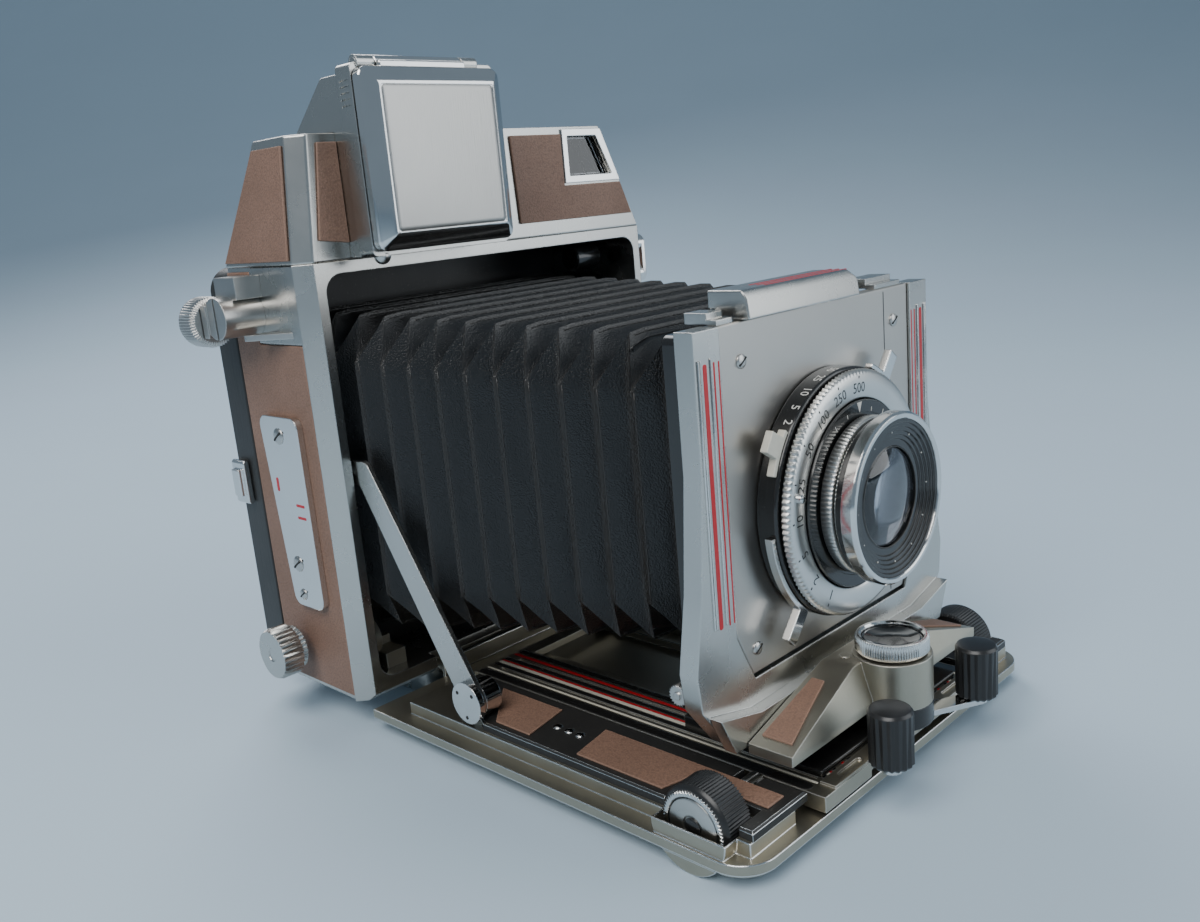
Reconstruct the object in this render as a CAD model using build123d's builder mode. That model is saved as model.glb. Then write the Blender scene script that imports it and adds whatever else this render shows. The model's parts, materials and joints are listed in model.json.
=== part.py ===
from build123d import *
import os
from math import cos, radians, sin, sqrt

# Folding technical field camera, standing open on its base plate and bed.
# Millimetres. +X runs across to the camera's left hand as seen from in front, the lens looks
# along -Y and +Z is up. The origin is the mouth of the tripod socket, under the body.

os.makedirs("parts", exist_ok=True)

# ---- driving dimensions -------------------------------------------------------------------
BODY_W = 132.0  # across the body
BODY_FRONT = -24.0  # front face of the body
BODY_BACK = 15.0  # where the shell ends and the back begins
BACK_REAR = 26.0  # rear face of the back frame
BODY_BOTTOM = 8.6
BODY_TOP = 129.8
HOUSING_TOP = 161.9
SKIN = 0.8  # leather thickness
WALL = 6.0
CHAMFER = 4.0

BED_W = 128.0
BED_FRONT = -154.9
BED_BOTTOM = 3.4
BED_RIM_TOP = 6.7
BED_LEDGE = 10.1  # raised ledge inside the rim
COVER_TOP = 12.4  # top of the side covers on the bed
TRACK_TOP = 11.4

LENS_Z = 68.1  # height of the lens axis
STANDARD_FRONT = -135.5  # front face of the standard's arms
ARM_IN, ARM_OUT = 39.0, 47.6
ARM_TOP = 112.4
GAP = 0.3  # free space between pieces that slide past each other
FIT = 0.05  # radial clearance of a running fit

FINDER_X0, FINDER_X1 = -51.5, -5.5
FINDER_PIN_Y, FINDER_PIN_Z = -34.9, 177.6

KNOB_Y, KNOB_Z, KNOB_R = -137.9, 10.1, 9.1
half_w = BODY_W / 2
bed_half = BED_W / 2


def front_plane(y):
    """Plane across the camera at depth y: local x is X, local y is Z, normal to the front."""
    return Plane.XZ.offset(-y)


def side_plane(x):
    """Plane along the camera at width x: local x is Y, local y is Z, normal to +X."""
    return Plane.YZ.offset(x)


def floor_plane(z):
    return Plane.XY.offset(z)


def poly(*points):
    """Closed straight-sided outline, for use inside a sketch."""
    return Polygon(*points, align=None)


def box(x0, x1, y0, y1, z0, z1, mode=Mode.ADD):
    """Box between two corners, added to or cut from the open part."""
    with Locations(((x0 + x1) / 2, (y0 + y1) / 2, (z0 + z1) / 2)):
        return Box(x1 - x0, y1 - y0, z1 - z0, mode=mode)


def rod(x0, x1, y, z, r, mode=Mode.ADD):
    """Round bar along X."""
    with Locations(Location(((x0 + x1) / 2, y, z), (0, 90, 0))):
        return Cylinder(r, x1 - x0, mode=mode)


def barrel(y0, y1, r, x=0.0, z=LENS_Z, mode=Mode.ADD):
    """Round bar along Y."""
    with Locations(Location((x, (y0 + y1) / 2, z), (90, 0, 0))):
        return Cylinder(r, y1 - y0, mode=mode)


def post(x, y, z0, z1, r, mode=Mode.ADD):
    """Round bar along Z."""
    with Locations((x, y, (z0 + z1) / 2)):
        return Cylinder(r, z1 - z0, mode=mode)


def save(built, label):
    built.part.label = label
    export_step(built.part, "parts/" + label + ".step")
    print(label, round(built.part.volume))


# ---- body ---------------------------------------------------------------------------------
wall_x = half_w - SKIN
opening_half = half_w - WALL - SKIN
opening_bottom, opening_top = 13.6, 126.6
bezel_back = BODY_FRONT + CHAMFER + 0.4
SILVER_Z = 109.0  # the left side's leather stops here, below a bare metal panel

with BuildPart() as body_shell:
    # chamfered front bezel at full width, then walls set in by the leather's thickness
    with BuildSketch(front_plane(bezel_back)):
        with Locations((0, (BODY_BOTTOM + BODY_TOP) / 2)):
            Rectangle(BODY_W, BODY_TOP - BODY_BOTTOM)
    extrude(amount=bezel_back - BODY_FRONT)
    chamfer(body_shell.edges().filter_by(Axis.Z).group_by(Axis.Y)[0], CHAMFER)
    chamfer(body_shell.faces().sort_by(Axis.Z)[0].edges().filter_by(Axis.X).sort_by(Axis.Y)[0], 1.5)
    box(-wall_x, wall_x, bezel_back, BODY_BACK, BODY_BOTTOM, BODY_TOP)
    with BuildSketch(front_plane(BODY_BACK)):
        with Locations((0, (opening_bottom + opening_top) / 2)):
            RectangleRounded(2 * opening_half, opening_top - opening_bottom, 5.0)
    extrude(amount=BODY_BACK - BODY_FRONT, mode=Mode.SUBTRACT)
    # bare metal panel high on the left side, at full width
    box(-half_w, -wall_x, bezel_back, BODY_FRONT + 26, SILVER_Z + 0.4, BODY_TOP - 0.2)
    # floor slot behind the bed's hinge
    box(-40, 40, BODY_FRONT, BODY_FRONT + 4, BODY_BOTTOM, opening_bottom, mode=Mode.SUBTRACT)
save(body_shell, "body_shell")

HOUSE_L0, HOUSE_L1 = -half_w, -63.0  # left side, at the foot and at the top
HOUSE_R0, HOUSE_R1 = half_w, 51.0
HOUSE_Y0, HOUSE_Y1 = 15.0, -4.6  # rear edge, at the foot and at the top

WINDOW_L, WINDOW_R0, WINDOW_R1 = 32.4, 51.0, 44.9
WINDOW_Z0, WINDOW_Z1 = 147.2, 159.0

with BuildPart() as top_housing:
    with BuildSketch(floor_plane(BODY_TOP)):
        poly((HOUSE_L0, HOUSE_Y0), (HOUSE_L0, BODY_FRONT + CHAMFER), (HOUSE_L0 + CHAMFER, BODY_FRONT),
             (HOUSE_R0 - CHAMFER, BODY_FRONT), (HOUSE_R0, BODY_FRONT + CHAMFER), (HOUSE_R0, HOUSE_Y0))
    with BuildSketch(floor_plane(HOUSING_TOP)):
        poly((HOUSE_L1, HOUSE_Y1), (HOUSE_L1, BODY_FRONT + CHAMFER), (HOUSE_L1 + CHAMFER, BODY_FRONT),
             (HOUSE_R1 - CHAMFER, BODY_FRONT), (HOUSE_R1, BODY_FRONT + CHAMFER), (HOUSE_R1, HOUSE_Y1))
    loft()
    # hollow for the rangefinder, open underneath
    with BuildSketch(floor_plane(BODY_TOP)):
        poly((HOUSE_L0 + 7, HOUSE_Y0 - 4), (HOUSE_L0 + 7, BODY_FRONT + 4),
             (HOUSE_R0 - 7, BODY_FRONT + 4), (HOUSE_R0 - 7, HOUSE_Y0 - 4))
    with BuildSketch(floor_plane(HOUSING_TOP - 2.5)):
        poly((HOUSE_L1 + 7, HOUSE_Y1 - 4), (HOUSE_L1 + 7, BODY_FRONT + 4),
             (HOUSE_R1 - 5, BODY_FRONT + 4), (HOUSE_R1 - 5, HOUSE_Y1 - 4))
    loft(mode=Mode.SUBTRACT)
    # rangefinder window through the front wall
    with BuildSketch(front_plane(BODY_FRONT)):
        poly((WINDOW_L, WINDOW_Z0), (WINDOW_R0, WINDOW_Z0), (WINDOW_R1, WINDOW_Z1), (WINDOW_L, WINDOW_Z1))
    extrude(amount=-3.0, mode=Mode.SUBTRACT)
save(top_housing, "top_housing")

BEZEL = 2.2
with BuildPart() as rangefinder_bezel:
    with BuildSketch(front_plane(BODY_FRONT)):
        poly((WINDOW_L - BEZEL, WINDOW_Z0 - BEZEL), (WINDOW_R0 + BEZEL + 1.4, WINDOW_Z0 - BEZEL),
             (WINDOW_R1 + BEZEL, WINDOW_Z1 + BEZEL), (WINDOW_L - BEZEL, WINDOW_Z1 + BEZEL))
        Polygon((WINDOW_L, WINDOW_Z0), (WINDOW_R0, WINDOW_Z0), (WINDOW_R1, WINDOW_Z1), (WINDOW_L, WINDOW_Z1),
                align=None, mode=Mode.SUBTRACT)
    extrude(amount=0.7)
save(rangefinder_bezel, "rangefinder_bezel")


def housing_side_x(z, side):
    """X of the housing's slanting side at height z."""
    t = (z - BODY_TOP) / (HOUSING_TOP - BODY_TOP)
    return HOUSE_L0 + t * (HOUSE_L1 - HOUSE_L0) if side < 0 else HOUSE_R0 + t * (HOUSE_R1 - HOUSE_R0)


PANEL_Z0, PANEL_Z1 = BODY_TOP + 1.2, HOUSING_TOP - 2.4
with BuildPart() as body_leather:
    with BuildSketch(front_plane(BODY_FRONT)):
        low, high = BODY_TOP + 4.4, HOUSING_TOP - 2.2
        sill = WINDOW_Z0 - BEZEL - 0.6
        jamb = WINDOW_L - BEZEL - 0.6
        poly((-59.6, low + 1.2), (FINDER_X0 + 0.9, low), (FINDER_X0 + 0.9, high), (-56.4, high))
        poly((10.0, low), (59.0, low), (54.6, sill), (jamb, sill), (jamb, high), (8.9, high))
    extrude(amount=SKIN)
    # panels on the two slanting sides, between the front chamfer and the sloping rear edge
    for side in (-1, 1):
        low_x, high_x = housing_side_x(PANEL_Z0, side), housing_side_x(PANEL_Z1, side)
        out = side * SKIN
        front_edge = BODY_FRONT + CHAMFER + 0.6
        rear_low, rear_high = HOUSE_Y0 - 1.6, HOUSE_Y1 - 0.4
        with BuildSketch(floor_plane(PANEL_Z0)):
            poly((low_x, front_edge), (low_x + out, front_edge), (low_x + out, rear_low), (low_x, rear_low))
        with BuildSketch(floor_plane(PANEL_Z1)):
            poly((high_x, front_edge), (high_x + out, front_edge), (high_x + out, rear_high),
                 (high_x, rear_high))
        loft()
    # flat panels on the body's two sides
    box(-half_w, -wall_x, bezel_back + 0.2, BODY_BACK - 0.6, BODY_BOTTOM + 1.5, SILVER_Z)
    box(wall_x, half_w, bezel_back + 0.2, BODY_BACK - 0.6, BODY_BOTTOM + 1.5, BODY_TOP - 1.2)
    box(-half_w, -wall_x, BODY_FRONT + 26.4, BODY_BACK - 0.6, SILVER_Z, BODY_TOP - 1.2)
save(body_leather, "body_leather")

# ---- base plate with the tripod socket ----------------------------------------------------
SOCKET_R = 3.97  # tapping radius of the 3/8 inch tripod thread
SOCKET_DEPTH = 6.0
with BuildPart() as base_plate:
    with BuildSketch(floor_plane(0)):
        with Locations((0, -4.0)):
            RectangleRounded(84, 34, 6)
    extrude(amount=BODY_BOTTOM)
    chamfer(base_plate.faces().sort_by(Axis.Z)[0].edges(), 0.8)
    post(0, 0, 0, SOCKET_DEPTH, SOCKET_R, mode=Mode.SUBTRACT)
save(base_plate, "base_plate")

# ---- finder on the top left ---------------------------------------------------------------
FRAME_BACK, FRAME_FRONT = -29.7, -36.0
FRAME_TOP, FRAME_BOTTOM = 177.5, 130.2
COVER_BACK, COVER_FRONT = -36.3, -41.6
COVER_Z = 153.8  # height of the cover's centre
LIGHT = (-46.0, -11.0, 136.1, 171.1)  # clear window of the finder: x0, x1, z0, z1
COVER_W, COVER_H = 45.4, 45.0
CENTRE_W, CENTRE_H = 38.0, 38.6  # raised centre of the cover
COVER_EDGE = 2.6  # thickness of the cover's flat edge
KNUCKLE_X0, KNUCKLE_X1 = -44.0, -16.5  # the cover's hinge knuckle
PIN_X0, PIN_X1 = -49.5, -11.0  # the pin through it

with BuildPart() as finder_box:
    with BuildSketch(side_plane(FINDER_X0 + 1.0)):
        poly((FRAME_BACK, FRAME_BOTTOM), (BODY_FRONT, FRAME_BOTTOM), (BODY_FRONT, HOUSING_TOP),
             (HOUSE_Y1 + 0.4, HOUSING_TOP), (-20.9, FRAME_TOP - 1.9), (FRAME_BACK, FRAME_TOP - 1.9))
    extrude(amount=FINDER_X1 - FINDER_X0 - 2.0)
    box(LIGHT[0], LIGHT[1], FRAME_BACK, BODY_FRONT, LIGHT[2], HOUSING_TOP, mode=Mode.SUBTRACT)
    box(LIGHT[0], LIGHT[1], FRAME_BACK, -19.0, HOUSING_TOP, LIGHT[3], mode=Mode.SUBTRACT)
    rear_edges = finder_box.edges().filter_by(Axis.X).group_by(Axis.Z)[-1]
    fillet(rear_edges.sort_by(Axis.Y)[-1], 3.0)
save(finder_box, "finder_box")

KNUCKLE_R, PIN_R = 1.8, 1.2
with BuildPart() as finder_frame:
    box(FINDER_X0, FINDER_X1, FRAME_FRONT, FRAME_BACK, FRAME_BOTTOM, FRAME_TOP)
    fillet(finder_frame.edges().filter_by(Axis.Y), 1.5)
    box(LIGHT[0], LIGHT[1], FRAME_FRONT, FRAME_BACK, LIGHT[2], LIGHT[3], mode=Mode.SUBTRACT)
    # five grip grooves near the top of the left side
    for step in range(5):
        z = FRAME_TOP - 3.9 - 1.5 * step
        box(FINDER_X0, FINDER_X0 + 0.6, FRAME_FRONT + 1.2, FRAME_BACK - 1.2, z - 0.4, z, mode=Mode.SUBTRACT)
    # trough for the cover's hinge knuckle, with a lug left at each end for the pin
    rod(PIN_X0, PIN_X1, FINDER_PIN_Y, FINDER_PIN_Z, KNUCKLE_R + GAP, mode=Mode.SUBTRACT)
    for x0, x1 in ((PIN_X0, KNUCKLE_X0 - GAP), (KNUCKLE_X1 + GAP, PIN_X1)):
        rod(x0, x1, FINDER_PIN_Y, FINDER_PIN_Z, KNUCKLE_R)
        box(x0, x1, FINDER_PIN_Y - 1.0, FINDER_PIN_Y + 1.2, FRAME_TOP - 3.4, FINDER_PIN_Z)
    rod(PIN_X0, PIN_X1, FINDER_PIN_Y, FINDER_PIN_Z, PIN_R + 0.01, mode=Mode.SUBTRACT)
    # rounded stud below the left corner
    with Locations((-47.5, -34.0, FRAME_BOTTOM)):
        Sphere(2.2)
save(finder_frame, "finder_frame")

with BuildPart() as finder_windows:
    # glass of the finder, and of the rangefinder in the housing's front wall
    box(LIGHT[0] + 0.1, LIGHT[1] - 0.1, -32.4, -30.6, LIGHT[2] + 0.1, LIGHT[3] - 0.1)
    with BuildSketch(front_plane(BODY_FRONT + 3.0)):
        poly((WINDOW_L + 0.1, WINDOW_Z0 + 0.1), (WINDOW_R0 - 0.1, WINDOW_Z0 + 0.1),
             (WINDOW_R1 - 0.1, WINDOW_Z1 - 0.1), (WINDOW_L + 0.1, WINDOW_Z1 - 0.1))
    extrude(amount=1.2)
save(finder_windows, "finder_windows")

with BuildPart() as finder_cover:
    # pillow-framed plate: a flat back, a broad bevel and a raised centre
    with BuildSketch(front_plane(COVER_BACK)):
        with Locations(((FINDER_X0 + FINDER_X1) / 2, COVER_Z)):
            RectangleRounded(COVER_W, COVER_H, 2.0)
    extrude(amount=COVER_EDGE)
    with BuildSketch(front_plane(COVER_BACK - COVER_EDGE)):
        with Locations(((FINDER_X0 + FINDER_X1) / 2, COVER_Z)):
            RectangleRounded(COVER_W, COVER_H, 2.0)
    with BuildSketch(front_plane(COVER_FRONT)):
        with Locations(((FINDER_X0 + FINDER_X1) / 2, COVER_Z)):
            RectangleRounded(CENTRE_W, CENTRE_H, 2.0)
    loft()
    rod(KNUCKLE_X0, KNUCKLE_X1, FINDER_PIN_Y, FINDER_PIN_Z, KNUCKLE_R)
    box(KNUCKLE_X0, KNUCKLE_X1, COVER_BACK - 1.0, COVER_BACK, COVER_Z + 21.0, FINDER_PIN_Z + 1.0)
    box(KNUCKLE_X0, KNUCKLE_X1, COVER_BACK, FINDER_PIN_Y - 0.6, FINDER_PIN_Z - 0.8, FINDER_PIN_Z + 1.0)
    rod(KNUCKLE_X0, KNUCKLE_X1, FINDER_PIN_Y, FINDER_PIN_Z, PIN_R + FIT, mode=Mode.SUBTRACT)
save(finder_cover, "finder_cover")

# ---- left side furniture ------------------------------------------------------------------
PLATE_T = 2.0
SCREW_SPOTS = ((-3.6, 84.1), (-3.6, 47.2), (-4.0, 38.2))
with BuildPart() as side_plate:
    with BuildSketch(side_plane(-half_w)):
        poly((-13.6, 34.6), (1.0, 34.6), (6.0, 89.6), (-13.6, 89.6))
    extrude(amount=-PLATE_T)
    fillet(side_plate.edges().filter_by(Axis.X), 3.0)
    for y, z in SCREW_SPOTS:
        rod(-half_w - PLATE_T, -half_w, y, z, 1.5, mode=Mode.SUBTRACT)
save(side_plate, "side_plate")

with BuildPart() as body_screws:
    for y, z in SCREW_SPOTS:
        rod(-half_w - PLATE_T - 0.7, -half_w - PLATE_T, y, z, 2.3)
        rod(-half_w - PLATE_T, -half_w, y, z, 1.45)
        box(-half_w - PLATE_T - 0.7, -half_w - PLATE_T - 0.3, y - 2.4, y + 2.4, z - 0.3, z + 0.3,
            mode=Mode.SUBTRACT)
    # two rivets in the right inside wall
    for y, z in ((-17.0, 102.6), (-17.0, 85.6)):
        rod(opening_half - 0.8, opening_half, y, z, 1.7)
save(body_screws, "body_screws")

# folded bracket behind the bare panel: a ramp that rises to the rear, a block and a slotted stud
STUD_Y, STUD_Z, STUD_R = 2.5, 117.4, 5.6
with BuildPart() as side_bracket:
    with BuildSketch(floor_plane(SILVER_Z + 2.0)):
        poly((-half_w, BODY_FRONT + 8), (-half_w - 7, BODY_FRONT + 20), (-half_w - 7, BODY_FRONT + 21),
             (-half_w, BODY_FRONT + 21))
    extrude(amount=1.6)
    box(-half_w - 7.5, -half_w, BODY_FRONT + 21, BODY_FRONT + 32, STUD_Z + 4.6, STUD_Z + 10.5)
    for step in range(3):
        x = -half_w - 6.0 + 2.4 * step
        post(x, BODY_FRONT + 23.4, STUD_Z + 8.6, STUD_Z + 10.5, 0.7, mode=Mode.SUBTRACT)
    rod(-half_w - 11.5, -half_w, STUD_Y, STUD_Z, STUD_R)
    # arm that carries the clamping knob's screw
    box(-half_w - 12.0, -half_w, 6.4, 9.1, STUD_Z - 5.2, STUD_Z + 3.6)
    slot_x = -half_w - 11.5
    box(slot_x, slot_x + 0.8, STUD_Y - 0.5, STUD_Y + 0.5, STUD_Z - 6, STUD_Z + 6, mode=Mode.SUBTRACT)
save(side_bracket, "side_bracket")


# knurled clamping knob behind the bracket, turning about a fore-and-aft axis
UPPER_X, UPPER_Z, UPPER_R = -74.4, 116.2, 7.0
UPPER_Y0, UPPER_Y1 = 10.6, 17.0
with BuildPart() as upper_knob:
    with BuildSketch(front_plane(UPPER_Y1)):
        with Locations((UPPER_X, UPPER_Z)):
            Circle(UPPER_R)
        with Locations((UPPER_X, UPPER_Z)):
            with PolarLocations(UPPER_R + 0.12, 36):
                Circle(0.42, mode=Mode.SUBTRACT)
    extrude(amount=UPPER_Y1 - UPPER_Y0)
    barrel(UPPER_Y0 - 1.2, UPPER_Y0, UPPER_R - 1.4, x=UPPER_X, z=UPPER_Z)
save(upper_knob, "upper_knob")

# fluted knob low on the left side
LOWER_Y, LOWER_Z, LOWER_R = 2.8, 21.4, 7.5
with BuildPart() as lower_knob:
    with BuildSketch(side_plane(-half_w - 3.0)):
        with Locations((LOWER_Y, LOWER_Z)):
            Circle(LOWER_R)
            with PolarLocations(LOWER_R + 0.35, 16):
                Circle(1.0, mode=Mode.SUBTRACT)
    extrude(amount=-8.4)
    rod(-half_w - 3.0, -half_w - GAP, LOWER_Y, LOWER_Z, LOWER_R - 1.2)
    rod(-half_w - 11.4, -half_w - 10.6, LOWER_Y, LOWER_Z, LOWER_R - 2.6, mode=Mode.SUBTRACT)
save(lower_knob, "lower_knob")

# ---- right side lug -----------------------------------------------------------------------
LUG_Z = 113.6
with BuildPart() as carry_lug:
    for z in (LUG_Z, LUG_Z + 10.0):
        rod(half_w, half_w + 4.5, -16.0, z, 3.0)
    box(half_w + 3.0, half_w + 4.5, -19.0, -13.0, LUG_Z, LUG_Z + 10.0)
save(carry_lug, "carry_lug")

# ---- inside the body ----------------------------------------------------------------------
with BuildPart() as coupling_roller:
    rod(30.0, opening_half - 0.5, -10.0, opening_top - 5.5, 2.0)
    rod(43.0, 54.0, -10.0, opening_top - 5.5, 4.2)
save(coupling_roller, "coupling_roller")

with BuildPart() as bed_catch:
    # hook that holds the closed bed, beside a block in the lower left corner of the opening
    box(-53.6, -47.0, -19.0, -9.0, opening_bottom, opening_bottom + 4.5)
    with BuildSketch(side_plane(-opening_half + 0.4)):
        with Locations((-16.0, opening_bottom + 10.6)):
            Circle(5.6)
            Circle(3.6, mode=Mode.SUBTRACT)
            with Locations((0, -5.4)):
                Rectangle(12, 2.8, mode=Mode.SUBTRACT)
    extrude(amount=3.0)
    box(-opening_half + 0.4, -47.0, -11.8, -9.6, opening_bottom + 3.8, opening_bottom + 7.0)
    box(-opening_half + 0.4, -opening_half + 3.4, -11.8, -9.6, opening_bottom + 5, opening_bottom + 11)
save(bed_catch, "bed_catch")

# ---- back ---------------------------------------------------------------------------------
SCREEN_W, SCREEN_H = 96.0, 76.0
SCREEN_Z = (BODY_BOTTOM + BODY_TOP) / 2
BACK_OPEN_W, BACK_OPEN_H = 108.0, 88.0
with BuildPart() as back_frame:
    with BuildSketch(front_plane(BACK_REAR)):
        with Locations((0, SCREEN_Z)):
            RectangleRounded(BODY_W, BODY_TOP - BODY_BOTTOM, 7.0)
            Rectangle(BACK_OPEN_W, BACK_OPEN_H, mode=Mode.SUBTRACT)
    extrude(amount=BACK_REAR - BODY_BACK)
save(back_frame, "back_frame")

with BuildPart() as screen_frame:
    with BuildSketch(front_plane(BACK_REAR - 0.5)):
        with Locations((0, SCREEN_Z)):
            Rectangle(BACK_OPEN_W - 0.8, BACK_OPEN_H - 0.8)
            Rectangle(SCREEN_W - 4, SCREEN_H - 4, mode=Mode.SUBTRACT)
    extrude(amount=6.0)
    with BuildSketch(front_plane(BACK_REAR - 0.5 - 2.0)):
        with Locations((0, SCREEN_Z)):
            Rectangle(SCREEN_W, SCREEN_H)
    extrude(amount=4.0, mode=Mode.SUBTRACT)
save(screen_frame, "screen_frame")

with BuildPart() as focusing_screen:
    with BuildSketch(front_plane(BACK_REAR - 2.6)):
        with Locations((0, SCREEN_Z)):
            Rectangle(SCREEN_W - 0.2, SCREEN_H - 0.2)
    extrude(amount=2.2)
save(focusing_screen, "focusing_screen")

HOOD_PIN_R = 1.2
HOOD_PIN_END = 44.8
HOOD_Y = BACK_REAR + 2.2
HOOD_HALF = 55.0
HOOD_BARREL = 40.0  # half length of the hood's hinge barrel
HOOD_BOTTOM, HOOD_TOP = SCREEN_Z - 45.0, SCREEN_Z + 44.0
HOOD_PIN_Z = HOOD_TOP + 2.4
with BuildPart() as hood_door:
    with BuildSketch(front_plane(BACK_REAR + 4.0)):
        with Locations((0, (HOOD_BOTTOM + HOOD_TOP) / 2)):
            RectangleRounded(2 * HOOD_HALF, HOOD_TOP - HOOD_BOTTOM, 4.0)
    extrude(amount=3.6)
    rod(-HOOD_BARREL, HOOD_BARREL, HOOD_Y, HOOD_PIN_Z, 2.0)
    box(-HOOD_BARREL, HOOD_BARREL, HOOD_Y - 1.4, HOOD_Y + 1.6, HOOD_TOP - 1.0, HOOD_PIN_Z)
    rod(-HOOD_BARREL, HOOD_BARREL, HOOD_Y, HOOD_PIN_Z, HOOD_PIN_R + FIT, mode=Mode.SUBTRACT)
save(hood_door, "hood_door")

with BuildPart() as hinge_pins:
    # the hood door's pin with its two lugs, and the finder cover's pin
    rod(-HOOD_PIN_END, HOOD_PIN_END, HOOD_Y, HOOD_PIN_Z, HOOD_PIN_R)
    for side in (-1, 1):
        x0, x1 = sorted((side * (HOOD_BARREL + GAP), side * HOOD_PIN_END))
        rod(x0, x1, HOOD_Y, HOOD_PIN_Z, 2.0)
        box(x0, x1, BACK_REAR, HOOD_Y, HOOD_PIN_Z - 2.0, HOOD_PIN_Z + 2.0)
    rod(PIN_X0, PIN_X1, FINDER_PIN_Y, FINDER_PIN_Z, PIN_R)
save(hinge_pins, "hinge_pins")

CLIP_Z = 68.1
with BuildPart() as back_clip:
    box(-half_w - 2.2, -half_w - GAP, 19.0, BACK_REAR, CLIP_Z - 6.5, CLIP_Z + 6.5)
    fillet(back_clip.edges().filter_by(Axis.Y), 0.9)
    box(-half_w - 3.4, -half_w - 2.2, 20.5, 24.5, CLIP_Z - 4, CLIP_Z + 4)
save(back_clip, "back_clip")

# ---- bed ----------------------------------------------------------------------------------
BED_BACK = BODY_FRONT - 0.6
BED_CORNER = 9.0
RACK_POCKET = 43.0  # half width of the lower pocket that the racks run in
LEDGE_OUT, LEDGE_REAR = 59.2, -36.0  # outer and rear ends of the raised ledges
BED_HINGE_HALF = 38.0
SHAFT_R = 2.0
WELL_IN, WELL_OUT = 51.0, 63.2  # rounded wells under the focusing knobs

with BuildPart() as bed:
    with BuildSketch(floor_plane(BED_BOTTOM)):
        with BuildLine():
            Polyline((-bed_half, BED_FRONT + BED_CORNER), (-bed_half, BED_BACK), (bed_half, BED_BACK),
                     (bed_half, BED_FRONT + BED_CORNER))
            RadiusArc((bed_half, BED_FRONT + BED_CORNER), (bed_half - BED_CORNER, BED_FRONT), BED_CORNER)
            Line((bed_half - BED_CORNER, BED_FRONT), (-bed_half + BED_CORNER, BED_FRONT))
            RadiusArc((-bed_half + BED_CORNER, BED_FRONT), (-bed_half, BED_FRONT + BED_CORNER), BED_CORNER)
        make_face()
    extrude(amount=BED_RIM_TOP - BED_BOTTOM)
    chamfer(bed.faces().sort_by(Axis.Z)[0].edges(), 0.8)
    # raised ledges for the side covers, either side of the track channel
    for side in (-1, 1):
        x0, x1 = sorted((side * RACK_POCKET, side * LEDGE_OUT))
        box(x0, x1, BED_FRONT + 3.5, LEDGE_REAR, BED_RIM_TOP, BED_LEDGE)
        k0, k1 = sorted((side * WELL_IN, side * WELL_OUT))
        rod(k0, k1, KNOB_Y, KNOB_Z, KNOB_Z)
    box(-bed_half, bed_half, KNOB_Y - 12, KNOB_Y + 12, BED_LEDGE, KNOB_Z + 12, mode=Mode.SUBTRACT)
    for side in (-1, 1):
        k0, k1 = sorted((side * (WELL_IN + 0.4), side * (WELL_OUT - 0.6)))
        rod(k0, k1, KNOB_Y, KNOB_Z, KNOB_R + 0.45, mode=Mode.SUBTRACT)
        k0, k1 = sorted((side * (RACK_POCKET - 1), side * (WELL_IN + 1)))
        rod(k0, k1, KNOB_Y, KNOB_Z, SHAFT_R + FIT, mode=Mode.SUBTRACT)
        box(k0, k1, KNOB_Y - SHAFT_R - FIT, KNOB_Y + SHAFT_R + FIT, KNOB_Z, BED_LEDGE + 1, mode=Mode.SUBTRACT)
    # fixed guides that the focusing track slides along
    for side in (-1, 1):
        x0, x1 = sorted((side * 13.0, side * 18.2))
        box(x0, x1, BED_FRONT + 8, LEDGE_REAR, BED_RIM_TOP, 9.0)
    # hinge barrels under the body's opening
    box(-BED_HINGE_HALF, BED_HINGE_HALF, BED_BACK, BODY_FRONT + 1.0, BED_BOTTOM + 2.0, BODY_BOTTOM - 0.1)
    rod(-BED_HINGE_HALF, BED_HINGE_HALF, BODY_FRONT + 1.6, BODY_BOTTOM + 1.5, 2.0)
    box(-BED_HINGE_HALF, BED_HINGE_HALF, BED_BACK, BODY_FRONT + 1.6, BODY_BOTTOM - 0.1, BODY_BOTTOM + 3.0)
save(bed, "bed")

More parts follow.
